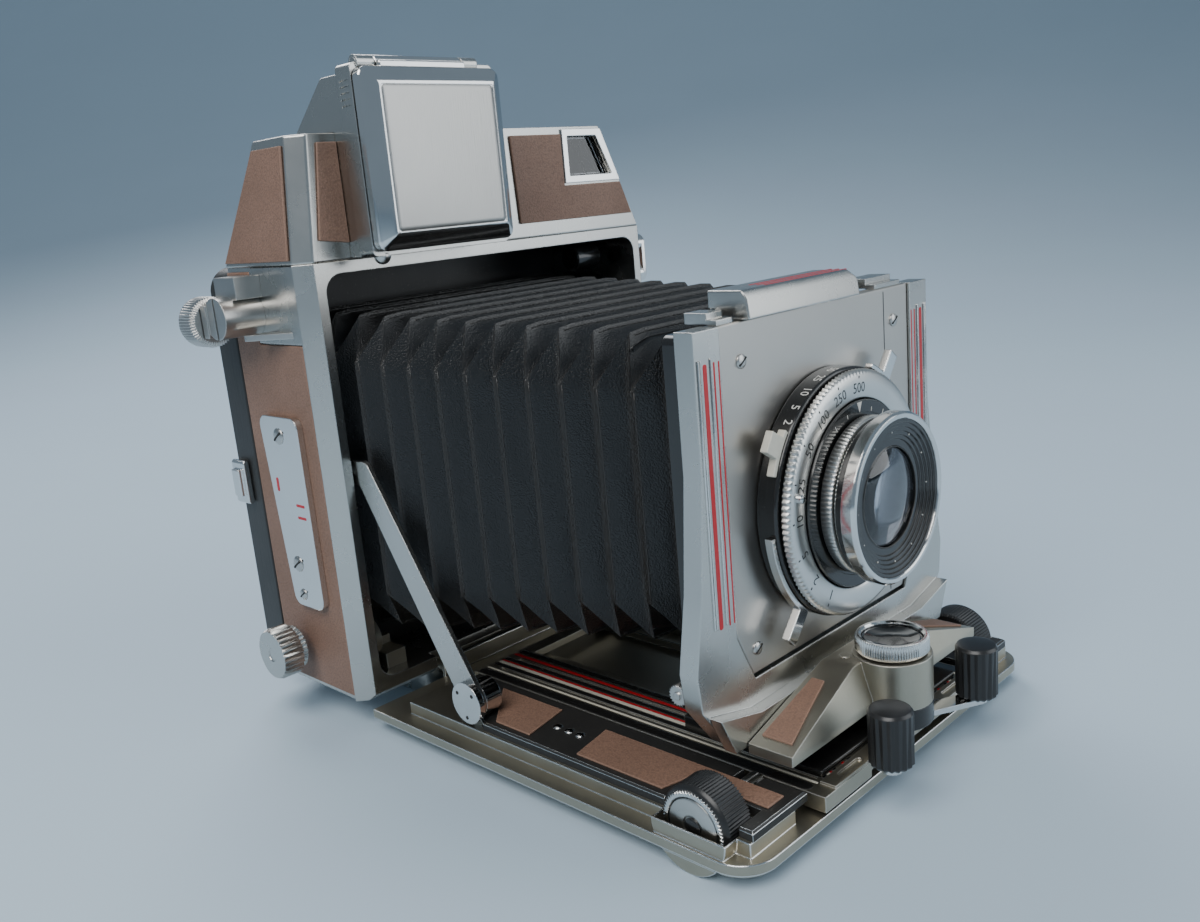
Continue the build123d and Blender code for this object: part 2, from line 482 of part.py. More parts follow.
COVER_IN, COVER_OUT = 38.7, 58.4
STRUT_LOW = (-63.0, 17.4)  # the struts' pivot on the bed, as y and z
POST_IN, POST_W = 53.0, 1.8  # post under that pivot: its inner side and half its depth
COVER_REAR, COVER_FORE = -42.0, -151.6
LEATHER_IN, LEATHER_OUT = 42.2, 56.4
DIMPLE_X, DIMPLE_YS = 48.8, (-84.6, -88.6, -92.4)
with BuildPart() as bed_covers:
    for side in (-1, 1):
        with BuildSketch(floor_plane(BED_LEDGE)):
            poly((side * COVER_IN, COVER_REAR), (side * 45.0, COVER_REAR), (side * COVER_OUT, -66.8),
                 (side * COVER_OUT, COVER_FORE), (side * COVER_IN, COVER_FORE))
    extrude(amount=COVER_TOP - BED_LEDGE)
    chamfer(bed_covers.faces().filter_by(Axis.Z).group_by(Axis.Z)[-1].edges(), 0.5)
    for side in (-1, 1):
        # cut-outs round the focusing knob, its shaft, its pinion and the strut's post
        x0, x1 = sorted((side * 50.4, side * 60.0))
        box(x0, x1, KNOB_Y - KNOB_R - 1.0, KNOB_Y + KNOB_R + 1.0, BED_LEDGE, COVER_TOP, mode=Mode.SUBTRACT)
        x0, x1 = sorted((side * 30.0, side * 52.0))
        rod(x0, x1, KNOB_Y, KNOB_Z, SHAFT_R + FIT, mode=Mode.SUBTRACT)
        x0, x1 = sorted((side * 30.0, side * 43.0))
        box(x0, x1, KNOB_Y - 3.0, KNOB_Y + 3.0, BED_LEDGE, COVER_TOP, mode=Mode.SUBTRACT)
        x0, x1 = sorted((side * POST_IN, side * 60.0))
        box(x0, x1, STRUT_LOW[0] - POST_W, STRUT_LOW[0] + POST_W, BED_LEDGE, COVER_TOP, mode=Mode.SUBTRACT)
        # three round dimples
        for y in DIMPLE_YS:
            post(side * DIMPLE_X, y, COVER_TOP - 0.5, COVER_TOP, 1.3, mode=Mode.SUBTRACT)
save(bed_covers, "bed_covers")

with BuildPart() as bed_leather:
    # patches on the side covers, and a panel under the bed
    for side in (-1, 1):
        with BuildSketch(floor_plane(COVER_TOP)):
            poly((side * LEATHER_IN, -56.2), (side * LEATHER_IN, -79.4), (side * LEATHER_OUT, -82.2),
                 (side * LEATHER_OUT, -69.6))
            poly((side * 43.6, -96.3), (side * 43.6, -149.0), (side * 49.4, -149.0),
                 (side * 49.4, KNOB_Y + 10.6), (side * LEATHER_OUT, KNOB_Y + 12.4),
                 (side * LEATHER_OUT, -98.8))
        extrude(amount=0.5)
    with BuildSketch(floor_plane(BED_BOTTOM - SKIN)):
        with Locations((0, -84.0)):
            RectangleRounded(108, 84, 4)
    extrude(amount=SKIN)
save(bed_leather, "bed_leather")

# ---- struts -------------------------------------------------------------------------------
STRUT_TOP = (-27.5, 73.6)
STRUT_IN, STRUT_OUT = 57.0, 58.4
STRUT_LOW_W, STRUT_TOP_W = 4.6, 3.6
run_y, run_z = STRUT_TOP[0] - STRUT_LOW[0], STRUT_TOP[1] - STRUT_LOW[1]
run = sqrt(run_y ** 2 + run_z ** 2)
across_y, across_z = -run_z / run, run_y / run
with BuildPart() as struts:
    for side in (-1, 1):
        x0, x1 = sorted((side * STRUT_IN, side * STRUT_OUT))
        with BuildSketch(side_plane(x0)):
            poly((STRUT_LOW[0] + across_y * STRUT_LOW_W, STRUT_LOW[1] + across_z * STRUT_LOW_W),
                 (STRUT_TOP[0] + across_y * STRUT_TOP_W, STRUT_TOP[1] + across_z * STRUT_TOP_W),
                 (STRUT_TOP[0] - across_y * STRUT_TOP_W, STRUT_TOP[1] - across_z * STRUT_TOP_W),
                 (STRUT_LOW[0] - across_y * STRUT_LOW_W, STRUT_LOW[1] - across_z * STRUT_LOW_W))
            with Locations(STRUT_LOW):
                Circle(STRUT_LOW_W)
            with Locations(STRUT_TOP):
                Circle(STRUT_TOP_W)
            with Locations(STRUT_LOW):
                Circle(1.6, mode=Mode.SUBTRACT)
        extrude(amount=x1 - x0)
        # tail that runs back into the body along the inside wall, and its pin
        box(x0, x1, STRUT_TOP[0], -18.0, STRUT_TOP[1] - 3.4, STRUT_TOP[1] + 3.4)
        x0, x1 = sorted((side * STRUT_IN, side * opening_half))
        rod(x0, x1, -20.4, STRUT_TOP[1], 1.4)
save(struts, "struts")

with BuildPart() as strut_pivots:
    for side in (-1, 1):
        x0, x1 = sorted((side * STRUT_OUT, side * (STRUT_OUT + 1.8)))
        rod(x0, x1, *STRUT_LOW, 5.6)
        x0, x1 = sorted((side * STRUT_IN, side * STRUT_OUT))
        rod(x0, x1, *STRUT_LOW, 1.55)
        x0, x1 = sorted((side * (STRUT_IN - 5.0), side * STRUT_IN))
        rod(x0, x1, *STRUT_LOW, 4.6)
        x0, x1 = sorted((side * (POST_IN + 0.3), side * STRUT_IN))
        box(x0, x1, STRUT_LOW[0] - POST_W + 0.2, STRUT_LOW[0] + POST_W - 0.2, BED_LEDGE, STRUT_LOW[1])
save(strut_pivots, "strut_pivots")

# ---- focusing track -----------------------------------------------------------------------
TRACK_FORE, TRACK_REAR = BED_FRONT - 0.4, -38.0
TRACK_IN, TRACK_OUT = 18.6, 37.4
PINION_R = 2.4
RACK_TOP = KNOB_Z - PINION_R
RACK_IN, RACK_OUT = 34.0, 42.4
with BuildPart() as track:
    for side in (-1, 1):
        x0, x1 = sorted((side * TRACK_IN, side * TRACK_OUT))
        box(x0, x1, TRACK_FORE, TRACK_REAR, RACK_TOP, TRACK_TOP)
        for groove in (24.0, 31.0):
            g0, g1 = sorted((side * groove, side * (groove + 1.0)))
            box(g0, g1, TRACK_FORE, TRACK_REAR, TRACK_TOP - 0.5, TRACK_TOP, mode=Mode.SUBTRACT)
    box(-TRACK_OUT, TRACK_OUT, TRACK_FORE, TRACK_FORE + 6.0, 9.4, TRACK_TOP)
    box(-TRACK_OUT, TRACK_OUT, TRACK_REAR - 5.0, TRACK_REAR, 9.4, TRACK_TOP)
    # slotted end plate
    with BuildSketch(floor_plane(TRACK_TOP)):
        with Locations((0, TRACK_FORE + 2.2)):
            Rectangle(66, 4.0)
            with Locations((-24, 0), (24, 0)):
                SlotOverall(9.0, 1.6, mode=Mode.SUBTRACT)
    extrude(amount=0.6)
save(track, "track")

RACK_PITCH = 1.5
with BuildPart() as focus_racks:
    for side in (-1, 1):
        x0, x1 = sorted((side * RACK_IN, side * RACK_OUT))
        box(x0, x1, KNOB_Y - 10, KNOB_Y + 22, BED_RIM_TOP + 0.1, RACK_TOP)
        x0, x1 = sorted((side * (TRACK_OUT + 0.6), side * RACK_OUT))
        for step in range(21):
            y = KNOB_Y - 9.5 + RACK_PITCH * step
            box(x0, x1, y, y + 0.7, RACK_TOP - 0.4, RACK_TOP, mode=Mode.SUBTRACT)
save(focus_racks, "focus_racks")

# ---- focusing knobs, one on each side, each with its own stub shaft and pinion --------------
KNOB_IN, KNOB_OUT = 52.0, 61.6
with BuildPart() as focus_shafts:
    for side in (-1, 1):
        x0, x1 = sorted((side * 42.8, side * KNOB_IN))
        rod(x0, x1, KNOB_Y, KNOB_Z, SHAFT_R)
        x0, x1 = sorted((side * 38.2, side * 42.8))
        with BuildSketch(side_plane(x0)):
            with Locations((KNOB_Y, KNOB_Z)):
                Circle(PINION_R - FIT)
                with PolarLocations(PINION_R, 10):
                    Circle(0.3, mode=Mode.SUBTRACT)
        extrude(amount=x1 - x0)
save(focus_shafts, "focus_shafts")

with BuildPart() as focus_knobs:
    for side in (-1, 1):
        x0, x1 = sorted((side * KNOB_IN, side * (KNOB_OUT - 0.8)))
        with BuildSketch(side_plane(x0)):
            with Locations((KNOB_Y, KNOB_Z)):
                Circle(KNOB_R)
                with PolarLocations(KNOB_R + 0.1, 48):
                    Circle(0.36, mode=Mode.SUBTRACT)
        extrude(amount=x1 - x0)
save(focus_knobs, "focus_knobs")

with BuildPart() as focus_knob_caps:
    for side in (-1, 1):
        x0, x1 = sorted((side * (KNOB_OUT - 0.8), side * KNOB_OUT))
        rod(x0, x1, KNOB_Y, KNOB_Z, KNOB_R - 0.5)
        box(x0, x1, KNOB_Y - 3.2, KNOB_Y + 3.2, KNOB_Z - 0.5, KNOB_Z + 0.5, mode=Mode.SUBTRACT)
save(focus_knob_caps, "focus_knob_caps")

# ---- carriage with the front standard -----------------------------------------------------
CAR_BOTTOM = TRACK_TOP + 0.15
CAR_TOP = CAR_BOTTOM + 4.0
CAR_REAR, CAR_FORE = -111.0, -150.4
HUB_REAR = -141.0
FOOT_BOTTOM = 20.4
FOOT_FORE = -138.8
CAR_HALF, RISER_HALF, KEEL_HALF = 31.0, 26.0, 12.6
with BuildPart() as carriage_base:
    box(-CAR_HALF, CAR_HALF, HUB_REAR, CAR_REAR, CAR_BOTTOM, CAR_TOP)
    box(-CAR_HALF, CAR_HALF, CAR_FORE, HUB_REAR, CAR_BOTTOM, CAR_BOTTOM + 1.6)
    box(-RISER_HALF, RISER_HALF, FOOT_FORE + 0.2, -114.0, CAR_TOP, FOOT_BOTTOM)
    # keel between the rails
    box(-KEEL_HALF, KEEL_HALF, -146.0, -114.0, 9.0, CAR_BOTTOM)
save(carriage_base, "carriage_base")

ARM_BACK = STANDARD_FRONT + 5.0
RISE_X, RISE_Y, RISE_Z = -48.6, -126.6, 32.6  # small toothed wheel of the rising front
RISE_R = 2.6
with BuildPart() as standard_frame:
    # U-shaped frame: straight arms that flare out low down and meet in a trough
    with BuildSketch(front_plane(ARM_BACK)):
        with BuildLine():
            Polyline((ARM_OUT, ARM_TOP), (ARM_OUT, 82.0), (50.2, 56.8), (53.4, 40.0))
            Polyline((53.4, 40.0), (52.4, 31.3), (44.0, FOOT_BOTTOM), (-44.0, FOOT_BOTTOM),
                     (-52.4, 31.3), (-53.4, 40.0))
            Polyline((-53.4, 40.0), (-50.2, 56.8), (-ARM_OUT, 82.0), (-ARM_OUT, ARM_TOP),
                     (-ARM_IN, ARM_TOP), (-ARM_IN, 44.0), (-33.4, 32.6), (33.4, 32.6),
                     (ARM_IN, 44.0), (ARM_IN, ARM_TOP), (ARM_OUT, ARM_TOP))
        make_face()
    extrude(amount=ARM_BACK - STANDARD_FRONT)
    # lip of the trough, standing forward of the arms
    with BuildSketch(front_plane(STANDARD_FRONT)):
        poly((-46.0, FOOT_BOTTOM), (46.0, FOOT_BOTTOM), (50.6, 30.0), (36.0, 26.5), (-36.0, 26.5),
             (-50.6, 30.0))
    extrude(amount=STANDARD_FRONT - FOOT_FORE)
    # bearing for the rising front's cross shaft
    box(-44.0, -40.0, RISE_Y - 2.6, RISE_Y + 2.6, RISE_Z - 3.4, RISE_Z + 2.8)
    box(-44.0, -40.0, ARM_BACK, RISE_Y - 2.6, RISE_Z - 9.0, RISE_Z + 2.8)
    rod(-46.0, -36.0, RISE_Y, RISE_Z, 1.0 + FIT, mode=Mode.SUBTRACT)
save(standard_frame, "standard_frame")

# wedge-shaped lock housing in front of the standard
BLOCK_REAR, BLOCK_FORE = FOOT_FORE - 0.2, -150.5
BLOCK_LOW, BLOCK_SHOULDER, BLOCK_TOP = 19.0, 21.4, 29.9
BLOCK_HALF, BLOCK_NECK = 42.0, 12.3
POST_Y, POST_R = -150.5, 9.3
HUB_LOW = 13.9
with BuildPart() as lock_block:
    box(-BLOCK_HALF, BLOCK_HALF, BLOCK_FORE, BLOCK_REAR, BLOCK_LOW, BLOCK_SHOULDER)
    with BuildSketch(floor_plane(BLOCK_SHOULDER)):
        poly((-BLOCK_HALF, BLOCK_FORE), (BLOCK_HALF, BLOCK_FORE), (BLOCK_HALF, BLOCK_REAR),
             (-BLOCK_HALF, BLOCK_REAR))
    with BuildSketch(floor_plane(BLOCK_TOP)):
        poly((-BLOCK_NECK, BLOCK_FORE + 3.1), (BLOCK_NECK, BLOCK_FORE + 3.1), (BLOCK_NECK, BLOCK_REAR),
             (-BLOCK_NECK, BLOCK_REAR))
    loft()
    post(0, POST_Y, BLOCK_LOW, BLOCK_TOP + 0.5, POST_R)
    post(-7.5, BLOCK_REAR - 3.4, BLOCK_TOP, BLOCK_TOP + 0.3, 1.4)
save(lock_block, "lock_block")

INSET_SLOPE = (BLOCK_TOP - BLOCK_SHOULDER) / (BLOCK_HALF - BLOCK_NECK)
with BuildPart() as block_leather:
    for side in (-1, 1):
        out, mid = 39.0, 19.0
        z_out = BLOCK_SHOULDER + INSET_SLOPE * (BLOCK_HALF - out)
        z_mid = BLOCK_SHOULDER + INSET_SLOPE * (BLOCK_HALF - mid)
        with BuildSketch(side_plane(side * out)):
            poly((BLOCK_REAR - 1.6, z_out), (BLOCK_FORE + 2.0, z_out), (BLOCK_FORE + 2.0, z_out + 0.5),
                 (BLOCK_REAR - 1.6, z_out + 0.5))
        with BuildSketch(side_plane(side * mid)):
            poly((BLOCK_REAR - 1.6, z_mid), (BLOCK_REAR - 5.0, z_mid), (BLOCK_REAR - 5.0, z_mid + 0.5),
                 (BLOCK_REAR - 1.6, z_mid + 0.5))
        loft()
save(block_leather, "block_leather")

PIVOT_X, PIVOT_Y = 5.4, -153.2
LEVER_HALF_W, PEG_R = 2.4, 1.2  # half width of a finger lever, and the peg it turns on
with BuildPart() as lever_hub:
    post(0, POST_Y, HUB_LOW, BLOCK_LOW, POST_R)
    box(-8.0, 8.0, POST_Y, FOOT_FORE + 0.2, CAR_TOP + 0.05, BLOCK_LOW)
    for side in (-1, 1):
        post(side * PIVOT_X, PIVOT_Y, HUB_LOW - 1.7, HUB_LOW, PEG_R)
save(lever_hub, "lever_hub")

GRIP_X, GRIP_Y, GRIP_R = 20.5, -161.5, 5.1
LEVER_Z0, LEVER_Z1 = HUB_LOW - 1.7, HUB_LOW - 0.3
GRIP_TOP = 27.4
reach_x, reach_y = GRIP_X - PIVOT_X, GRIP_Y - PIVOT_Y
reach = sqrt(reach_x ** 2 + reach_y ** 2)
for side, name in ((-1, "left"), (1, "right")):
    with BuildPart() as grip_lever:
        with BuildSketch(floor_plane(LEVER_Z0)):
            nx, ny = -reach_y / reach * LEVER_HALF_W, reach_x / reach * LEVER_HALF_W
            poly((side * (PIVOT_X + nx), PIVOT_Y + ny), (side * (GRIP_X + nx), GRIP_Y + ny),
                 (side * (GRIP_X - nx), GRIP_Y - ny), (side * (PIVOT_X - nx), PIVOT_Y - ny))
            with Locations((side * PIVOT_X, PIVOT_Y)):
                Circle(LEVER_HALF_W)
            with Locations((side * GRIP_X, GRIP_Y)):
                Circle(LEVER_HALF_W)
            with Locations((side * PIVOT_X, PIVOT_Y)):
                Circle(PEG_R + FIT, mode=Mode.SUBTRACT)
        extrude(amount=LEVER_Z1 - LEVER_Z0)
    save(grip_lever, name + "_grip_lever")
    with BuildPart() as grip:
        with BuildSketch(floor_plane(LEVER_Z1)):
            with Locations((side * GRIP_X, GRIP_Y)):
                Circle(GRIP_R)
                with PolarLocations(GRIP_R + 0.2, 16, start_angle=180, angular_range=180):
                    Circle(0.5, mode=Mode.SUBTRACT)
        extrude(amount=GRIP_TOP - LEVER_Z1)
    save(grip, name + "_grip")

RING_Z0, RING_Z1, RING_R = BLOCK_TOP + 0.9, 34.9, 8.7
with BuildPart() as lock_ring:
    with BuildSketch(floor_plane(RING_Z0)):
        with Locations((0, POST_Y)):
            Circle(RING_R)
            with PolarLocations(RING_R + 0.1, 44):
                Circle(0.36, mode=Mode.SUBTRACT)
    extrude(amount=RING_Z1 - RING_Z0)
    post(0, POST_Y, RING_Z0 + 0.8, RING_Z1, RING_R - 1.6, mode=Mode.SUBTRACT)
save(lock_ring, "lock_ring")

with BuildPart() as lock_cap:
    post(0, POST_Y, RING_Z0 + 0.8, RING_Z1 - 0.9, RING_R - 1.65)
save(lock_cap, "lock_cap")

with BuildPart() as rise_pinion:
    # small toothed wheel on a cross shaft behind the standard's left arm
    rod(RISE_X, -37.0, RISE_Y, RISE_Z, 1.0)
    with BuildSketch(side_plane(RISE_X - 1.6)):
        with Locations((RISE_Y, RISE_Z)):
            Circle(RISE_R)
            with PolarLocations(RISE_R + 0.15, 14):
                Circle(0.32, mode=Mode.SUBTRACT)
    extrude(amount=1.8)
save(rise_pinion, "rise_pinion")

# ---- lens carrier -------------------------------------------------------------------------
BOARD_HALF = ARM_IN - GAP
BOARD_FRONT, BOARD_BACK = STANDARD_FRONT + 0.6, STANDARD_FRONT + 3.6
BOARD_TOP = ARM_TOP
MOUNT_R = 17.5
with BuildPart() as lens_board:
    with BuildSketch(front_plane(BOARD_BACK)):
        poly((-BOARD_HALF, BOARD_TOP), (-BOARD_HALF, 44.8), (-33.2, 33.2), (33.2, 33.2),
             (BOARD_HALF, 44.8), (BOARD_HALF, BOARD_TOP))
        with Locations((0, LENS_Z)):
            Circle(MOUNT_R, mode=Mode.SUBTRACT)
    extrude(amount=BOARD_BACK - BOARD_FRONT)
save(lens_board, "lens_board")

BELLOWS_FRAME_FRONT = ARM_BACK + GAP
BELLOWS_FRAME_BACK = BELLOWS_FRAME_FRONT + 4.0
FRAME_HALF, FRAME_LOW, FRAME_HIGH = 46.4, 39.0, 111.4
with BuildPart() as bellows_frame:
    with BuildSketch(front_plane(BELLOWS_FRAME_BACK)):
        with Locations((0, (FRAME_LOW + FRAME_HIGH) / 2)):
            RectangleRounded(2 * FRAME_HALF, FRAME_HIGH - FRAME_LOW, 2.0)
            Rectangle(2 * FRAME_HALF - 18, FRAME_HIGH - FRAME_LOW - 14, mode=Mode.SUBTRACT)
    extrude(amount=BELLOWS_FRAME_BACK - BELLOWS_FRAME_FRONT)
    # legs that join it to the back of the lens board, between the arms
    for side in (-1, 1):
        x0, x1 = sorted((side * 37.4, side * 38.4))
        box(x0, x1, BOARD_BACK, BELLOWS_FRAME_FRONT, 52.0, 104.0)
save(bellows_frame, "bellows_frame")

LATCH_X0, LATCH_X1 = -30.5, 13.0
LATCH_Y0, LATCH_Y1 = -137.2, -126.0
LATCH_Z0, LATCH_Z1 = BOARD_TOP + 0.1, 118.8
with BuildPart() as board_latch:
    with BuildSketch(side_plane(LATCH_X0)):
        poly((LATCH_Y0, LATCH_Z0), (LATCH_Y0 + 0.6, LATCH_Z1 - 1.8), (LATCH_Y0 + 1.8, LATCH_Z1),
             (LATCH_Y1, LATCH_Z1), (LATCH_Y1, LATCH_Z0 + 2.2), (LATCH_Y1 - 2.0, LATCH_Z0 + 2.2),
             (LATCH_Y1 - 2.0, LATCH_Z0))
    extrude(amount=LATCH_X1 - LATCH_X0)
    chamfer(board_latch.faces().sort_by(Axis.X)[-1].edges().filter_by(Axis.Y).sort_by(Axis.Z)[-1], 2.4)
save(board_latch, "board_latch")

with BuildPart() as latch_guides:
    # two bridges fixed on top of the board that the latch slides between
    for x0, x1 in ((-38.4, -33.0), (24.0, 36.0)):
        box(x0, x1, BOARD_FRONT + 0.4, BOARD_BACK, BOARD_TOP, BOARD_TOP + 1.2)
        box(x0, x1, BOARD_BACK, LATCH_Y1, BOARD_TOP + 0.2, BOARD_TOP + 2.6)
    box(-38.4, 36.0, LATCH_Y1 - 1.8, LATCH_Y1 - 0.2, BOARD_TOP + 0.2, BOARD_TOP + 2.2)
save(latch_guides, "latch_guides")

# ---- shutter and lens ---------------------------------------------------------------------
SHUTTER_R, BODY_Y0, BODY_Y1 = 29.5, BOARD_FRONT - 5.6, BOARD_FRONT
HUB_R, HUB_Y = 22.0, BODY_Y0 - 3.2
NOSE_R, NOSE_Y = 15.4, HUB_Y - 3.6
with BuildPart() as shutter:
    barrel(BODY_Y0, BODY_Y1, SHUTTER_R)
    barrel(HUB_Y, BODY_Y0, HUB_R)
    barrel(NOSE_Y, HUB_Y, NOSE_R)
    barrel(NOSE_Y, BODY_Y1, 13.0, mode=Mode.SUBTRACT)
    chamfer(shutter.edges().filter_by(GeomType.CIRCLE).sort_by(SortBy.RADIUS)[-2:], 0.5)
save(shutter, "shutter")

SPEED_R = 29.0
with BuildPart() as speed_ring:
    with BuildSketch(front_plane(BODY_Y0 - 0.3)):
        with Locations((0, LENS_Z)):
            Circle(SPEED_R)
            with PolarLocations(SPEED_R + 0.1, 110):
                Circle(0.4, mode=Mode.SUBTRACT)
            Circle(HUB_R + GAP, mode=Mode.SUBTRACT)
    extrude(amount=2.7)
save(speed_ring, "speed_ring")

APERTURE_R = 18.6
with BuildPart() as aperture_ring:
    barrel(NOSE_Y, HUB_Y - 0.3, APERTURE_R)
    barrel(NOSE_Y, HUB_Y - 0.3, NOSE_R + GAP, mode=Mode.SUBTRACT)
save(aperture_ring, "aperture_ring")

CELL_Y = NOSE_Y - 0.3
RIM_Y, RIM_R = -153.6, 20.0
NECK_R, NECK_L = 17.6, 2.4  # knurled neck of the front cell
TUBE_R = 11.4
with BuildPart() as front_cell:
    # knurled neck, broad chrome rim and the tube that screws through the shutter
    with BuildSketch(front_plane(CELL_Y)):
        with Locations((0, LENS_Z)):
            Circle(NECK_R)
            with PolarLocations(NECK_R + 0.1, 90):
                Circle(0.3, mode=Mode.SUBTRACT)
    extrude(amount=NECK_L)
    barrel(RIM_Y, CELL_Y - NECK_L, RIM_R)
    chamfer(front_cell.edges().filter_by(GeomType.CIRCLE).sort_by(Axis.Y)[0], 0.6)
    barrel(CELL_Y, CELL_Y + 8.0, 12.9)
    barrel(RIM_Y, CELL_Y + 8.0, TUBE_R, mode=Mode.SUBTRACT)
    with BuildSketch(front_plane(CELL_Y - 3.2)):
        with Locations((0, LENS_Z)):
            Circle(13.4)
    with BuildSketch(front_plane(RIM_Y)):
        with Locations((0, LENS_Z)):
            Circle(18.2)
    loft(mode=Mode.SUBTRACT)
save(front_cell, "front_cell")

GLASS_BULGE = 38.0  # radius of the front glass's surface
with BuildPart() as front_element:
    barrel(CELL_Y - 4.6, CELL_Y - 0.6, TUBE_R - 0.05)
    with Locations((0, CELL_Y - 4.6 + GLASS_BULGE, LENS_Z)):
        Sphere(GLASS_BULGE, mode=Mode.INTERSECT)
save(front_element, "front_element")

with BuildPart() as rear_cell:
    # threaded tube, the nut that clamps the shutter to the board, and the rear lens behind it
    barrel(BODY_Y1, BOARD_BACK, MOUNT_R - 0.1)
    barrel(BOARD_BACK, BOARD_BACK + 3.0, MOUNT_R + 3.0)
    barrel(BOARD_BACK + 3.0, BOARD_BACK + 13.0, 14.4)
    barrel(BODY_Y1, BOARD_BACK + 9.0, 12.0, mode=Mode.SUBTRACT)
    barrel(BOARD_BACK + 11.0, BOARD_BACK + 13.0, 12.0, mode=Mode.SUBTRACT)
save(rear_cell, "rear_cell")

LEVER_R0, LEVER_R1 = SHUTTER_R + GAP, SHUTTER_R + 1.5
LEVER_Y = BODY_Y0 + 2.4  # back face of the levers, which are 2 mm thick


def polar(radius, degrees):
    """Point in the shutter's face at an angle counted from +X towards +Z."""
    return (radius * cos(radians(degrees)), radius * sin(radians(degrees)))


def rim_lever(start, stop, tab_angle, tab_end, tab_width):
    """Outline of a lever that hugs the shutter's rim, with a tab standing outwards from it."""
    Circle(LEVER_R1)
    Circle(LEVER_R0, mode=Mode.SUBTRACT)
    # keep the ring between the two angles
    fan = [(0, 0)] + [polar(60, start + (stop - start) * step / 4) for step in range(5)]
    Polygon(*fan, align=None, mode=Mode.INTERSECT)
    middle = (LEVER_R0 + 0.5 + tab_end) / 2
    with Locations(Location((*polar(middle, tab_angle), 0), tab_angle)):
        Rectangle(tab_end - LEVER_R0 - 0.5, tab_width)


for label, shape in (
    ("cocking_lever", (186, 232, 229, 38.5, 3.4)),
    ("release_lever", (46, 66, 52, 37.0, 3.6)),
    ("sync_lever", (140, 160, 148, 35.0, 5.0)),
):
    with BuildPart() as lever:
        with BuildSketch(Plane(origin=(0, LEVER_Y, LENS_Z), x_dir=(1, 0, 0), z_dir=(0, -1, 0))):
            rim_lever(*shape)
        extrude(amount=2.0)
    save(lever, label)

# ---- bellows ------------------------------------------------------------------------------
BELLOWS_FRONT = BELLOWS_FRAME_BACK + 0.2
BELLOWS_SPLIT = -112.0
BELLOWS_REAR = 8.0
FRONT_W, FRONT_Z0, FRONT_Z1 = 91.0, 40.0, 110.6
REAR_W, REAR_Z0, REAR_Z1 = 112.0, 20.0, 116.4
BELLOWS_T = 7.0  # room taken by the pleats on each side


def bellows_section(y, inset):
    """Width and two heights of the bellows at depth y, moved in by an inset."""
    t = (y - BELLOWS_FRONT) / (BELLOWS_REAR - BELLOWS_FRONT)
    width = FRONT_W + t * (REAR_W - FRONT_W) - 2 * inset
    low = FRONT_Z0 + t * (REAR_Z0 - FRONT_Z0) + inset
    high = FRONT_Z1 + t * (REAR_Z1 - FRONT_Z1) - inset
    return width, low, high


for label, y0, y1 in (
    ("bellows", BELLOWS_SPLIT + 0.1, BELLOWS_REAR),
    ("bellows_front", BELLOWS_FRONT, BELLOWS_SPLIT),
):
    with BuildPart() as sleeve:
        for inset, mode in ((0.0, Mode.ADD), (BELLOWS_T, Mode.SUBTRACT)):
            for y in (y0, y1):
                width, low, high = bellows_section(y, inset)
                with BuildSketch(front_plane(y)):
                    with Locations((0, (low + high) / 2)):
                        Rectangle(width, high - low)
            loft(mode=mode)
    save(sleeve, label)
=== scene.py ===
import json
from math import cos, pi, radians, sin, tau

import bmesh
import bpy
import numpy as np
from mathutils import Matrix, Vector

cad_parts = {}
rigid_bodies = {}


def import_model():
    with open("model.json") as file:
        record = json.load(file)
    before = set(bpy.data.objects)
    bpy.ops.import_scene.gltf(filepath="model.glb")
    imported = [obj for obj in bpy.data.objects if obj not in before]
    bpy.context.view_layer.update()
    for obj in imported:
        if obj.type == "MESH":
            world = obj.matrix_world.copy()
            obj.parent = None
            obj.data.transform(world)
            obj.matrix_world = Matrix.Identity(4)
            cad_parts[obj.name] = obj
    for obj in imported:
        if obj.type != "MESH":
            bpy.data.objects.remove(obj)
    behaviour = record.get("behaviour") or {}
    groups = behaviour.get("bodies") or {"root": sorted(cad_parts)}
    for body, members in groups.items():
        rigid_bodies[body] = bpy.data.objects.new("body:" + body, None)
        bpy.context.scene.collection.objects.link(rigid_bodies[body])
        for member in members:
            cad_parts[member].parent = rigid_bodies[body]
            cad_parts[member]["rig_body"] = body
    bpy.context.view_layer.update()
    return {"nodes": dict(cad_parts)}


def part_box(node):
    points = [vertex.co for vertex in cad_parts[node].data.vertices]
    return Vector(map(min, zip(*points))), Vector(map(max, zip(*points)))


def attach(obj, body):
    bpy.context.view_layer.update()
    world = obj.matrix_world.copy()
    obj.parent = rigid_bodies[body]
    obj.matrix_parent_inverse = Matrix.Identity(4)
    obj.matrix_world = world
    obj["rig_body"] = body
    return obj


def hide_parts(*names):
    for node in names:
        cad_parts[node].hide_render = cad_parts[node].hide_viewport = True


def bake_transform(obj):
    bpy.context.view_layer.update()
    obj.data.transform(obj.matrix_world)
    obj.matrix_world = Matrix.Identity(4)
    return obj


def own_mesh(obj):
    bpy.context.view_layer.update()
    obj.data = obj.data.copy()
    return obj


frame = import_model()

bl_info = {
    "name": "Folding field camera",
    "version": (1, 0, 0),
    "blender": (4, 5, 0),
    "location": "View3D > Sidebar > Camera",
    "description": "Builds the visible pieces of a folding field camera round its packed frame",
    "category": "Object",
}

MM = 0.001


def span(node):
    """Lowest and highest corner of a CAD node, in millimetres."""
    low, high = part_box(node)
    return np.array(low) / MM, np.array(high) / MM


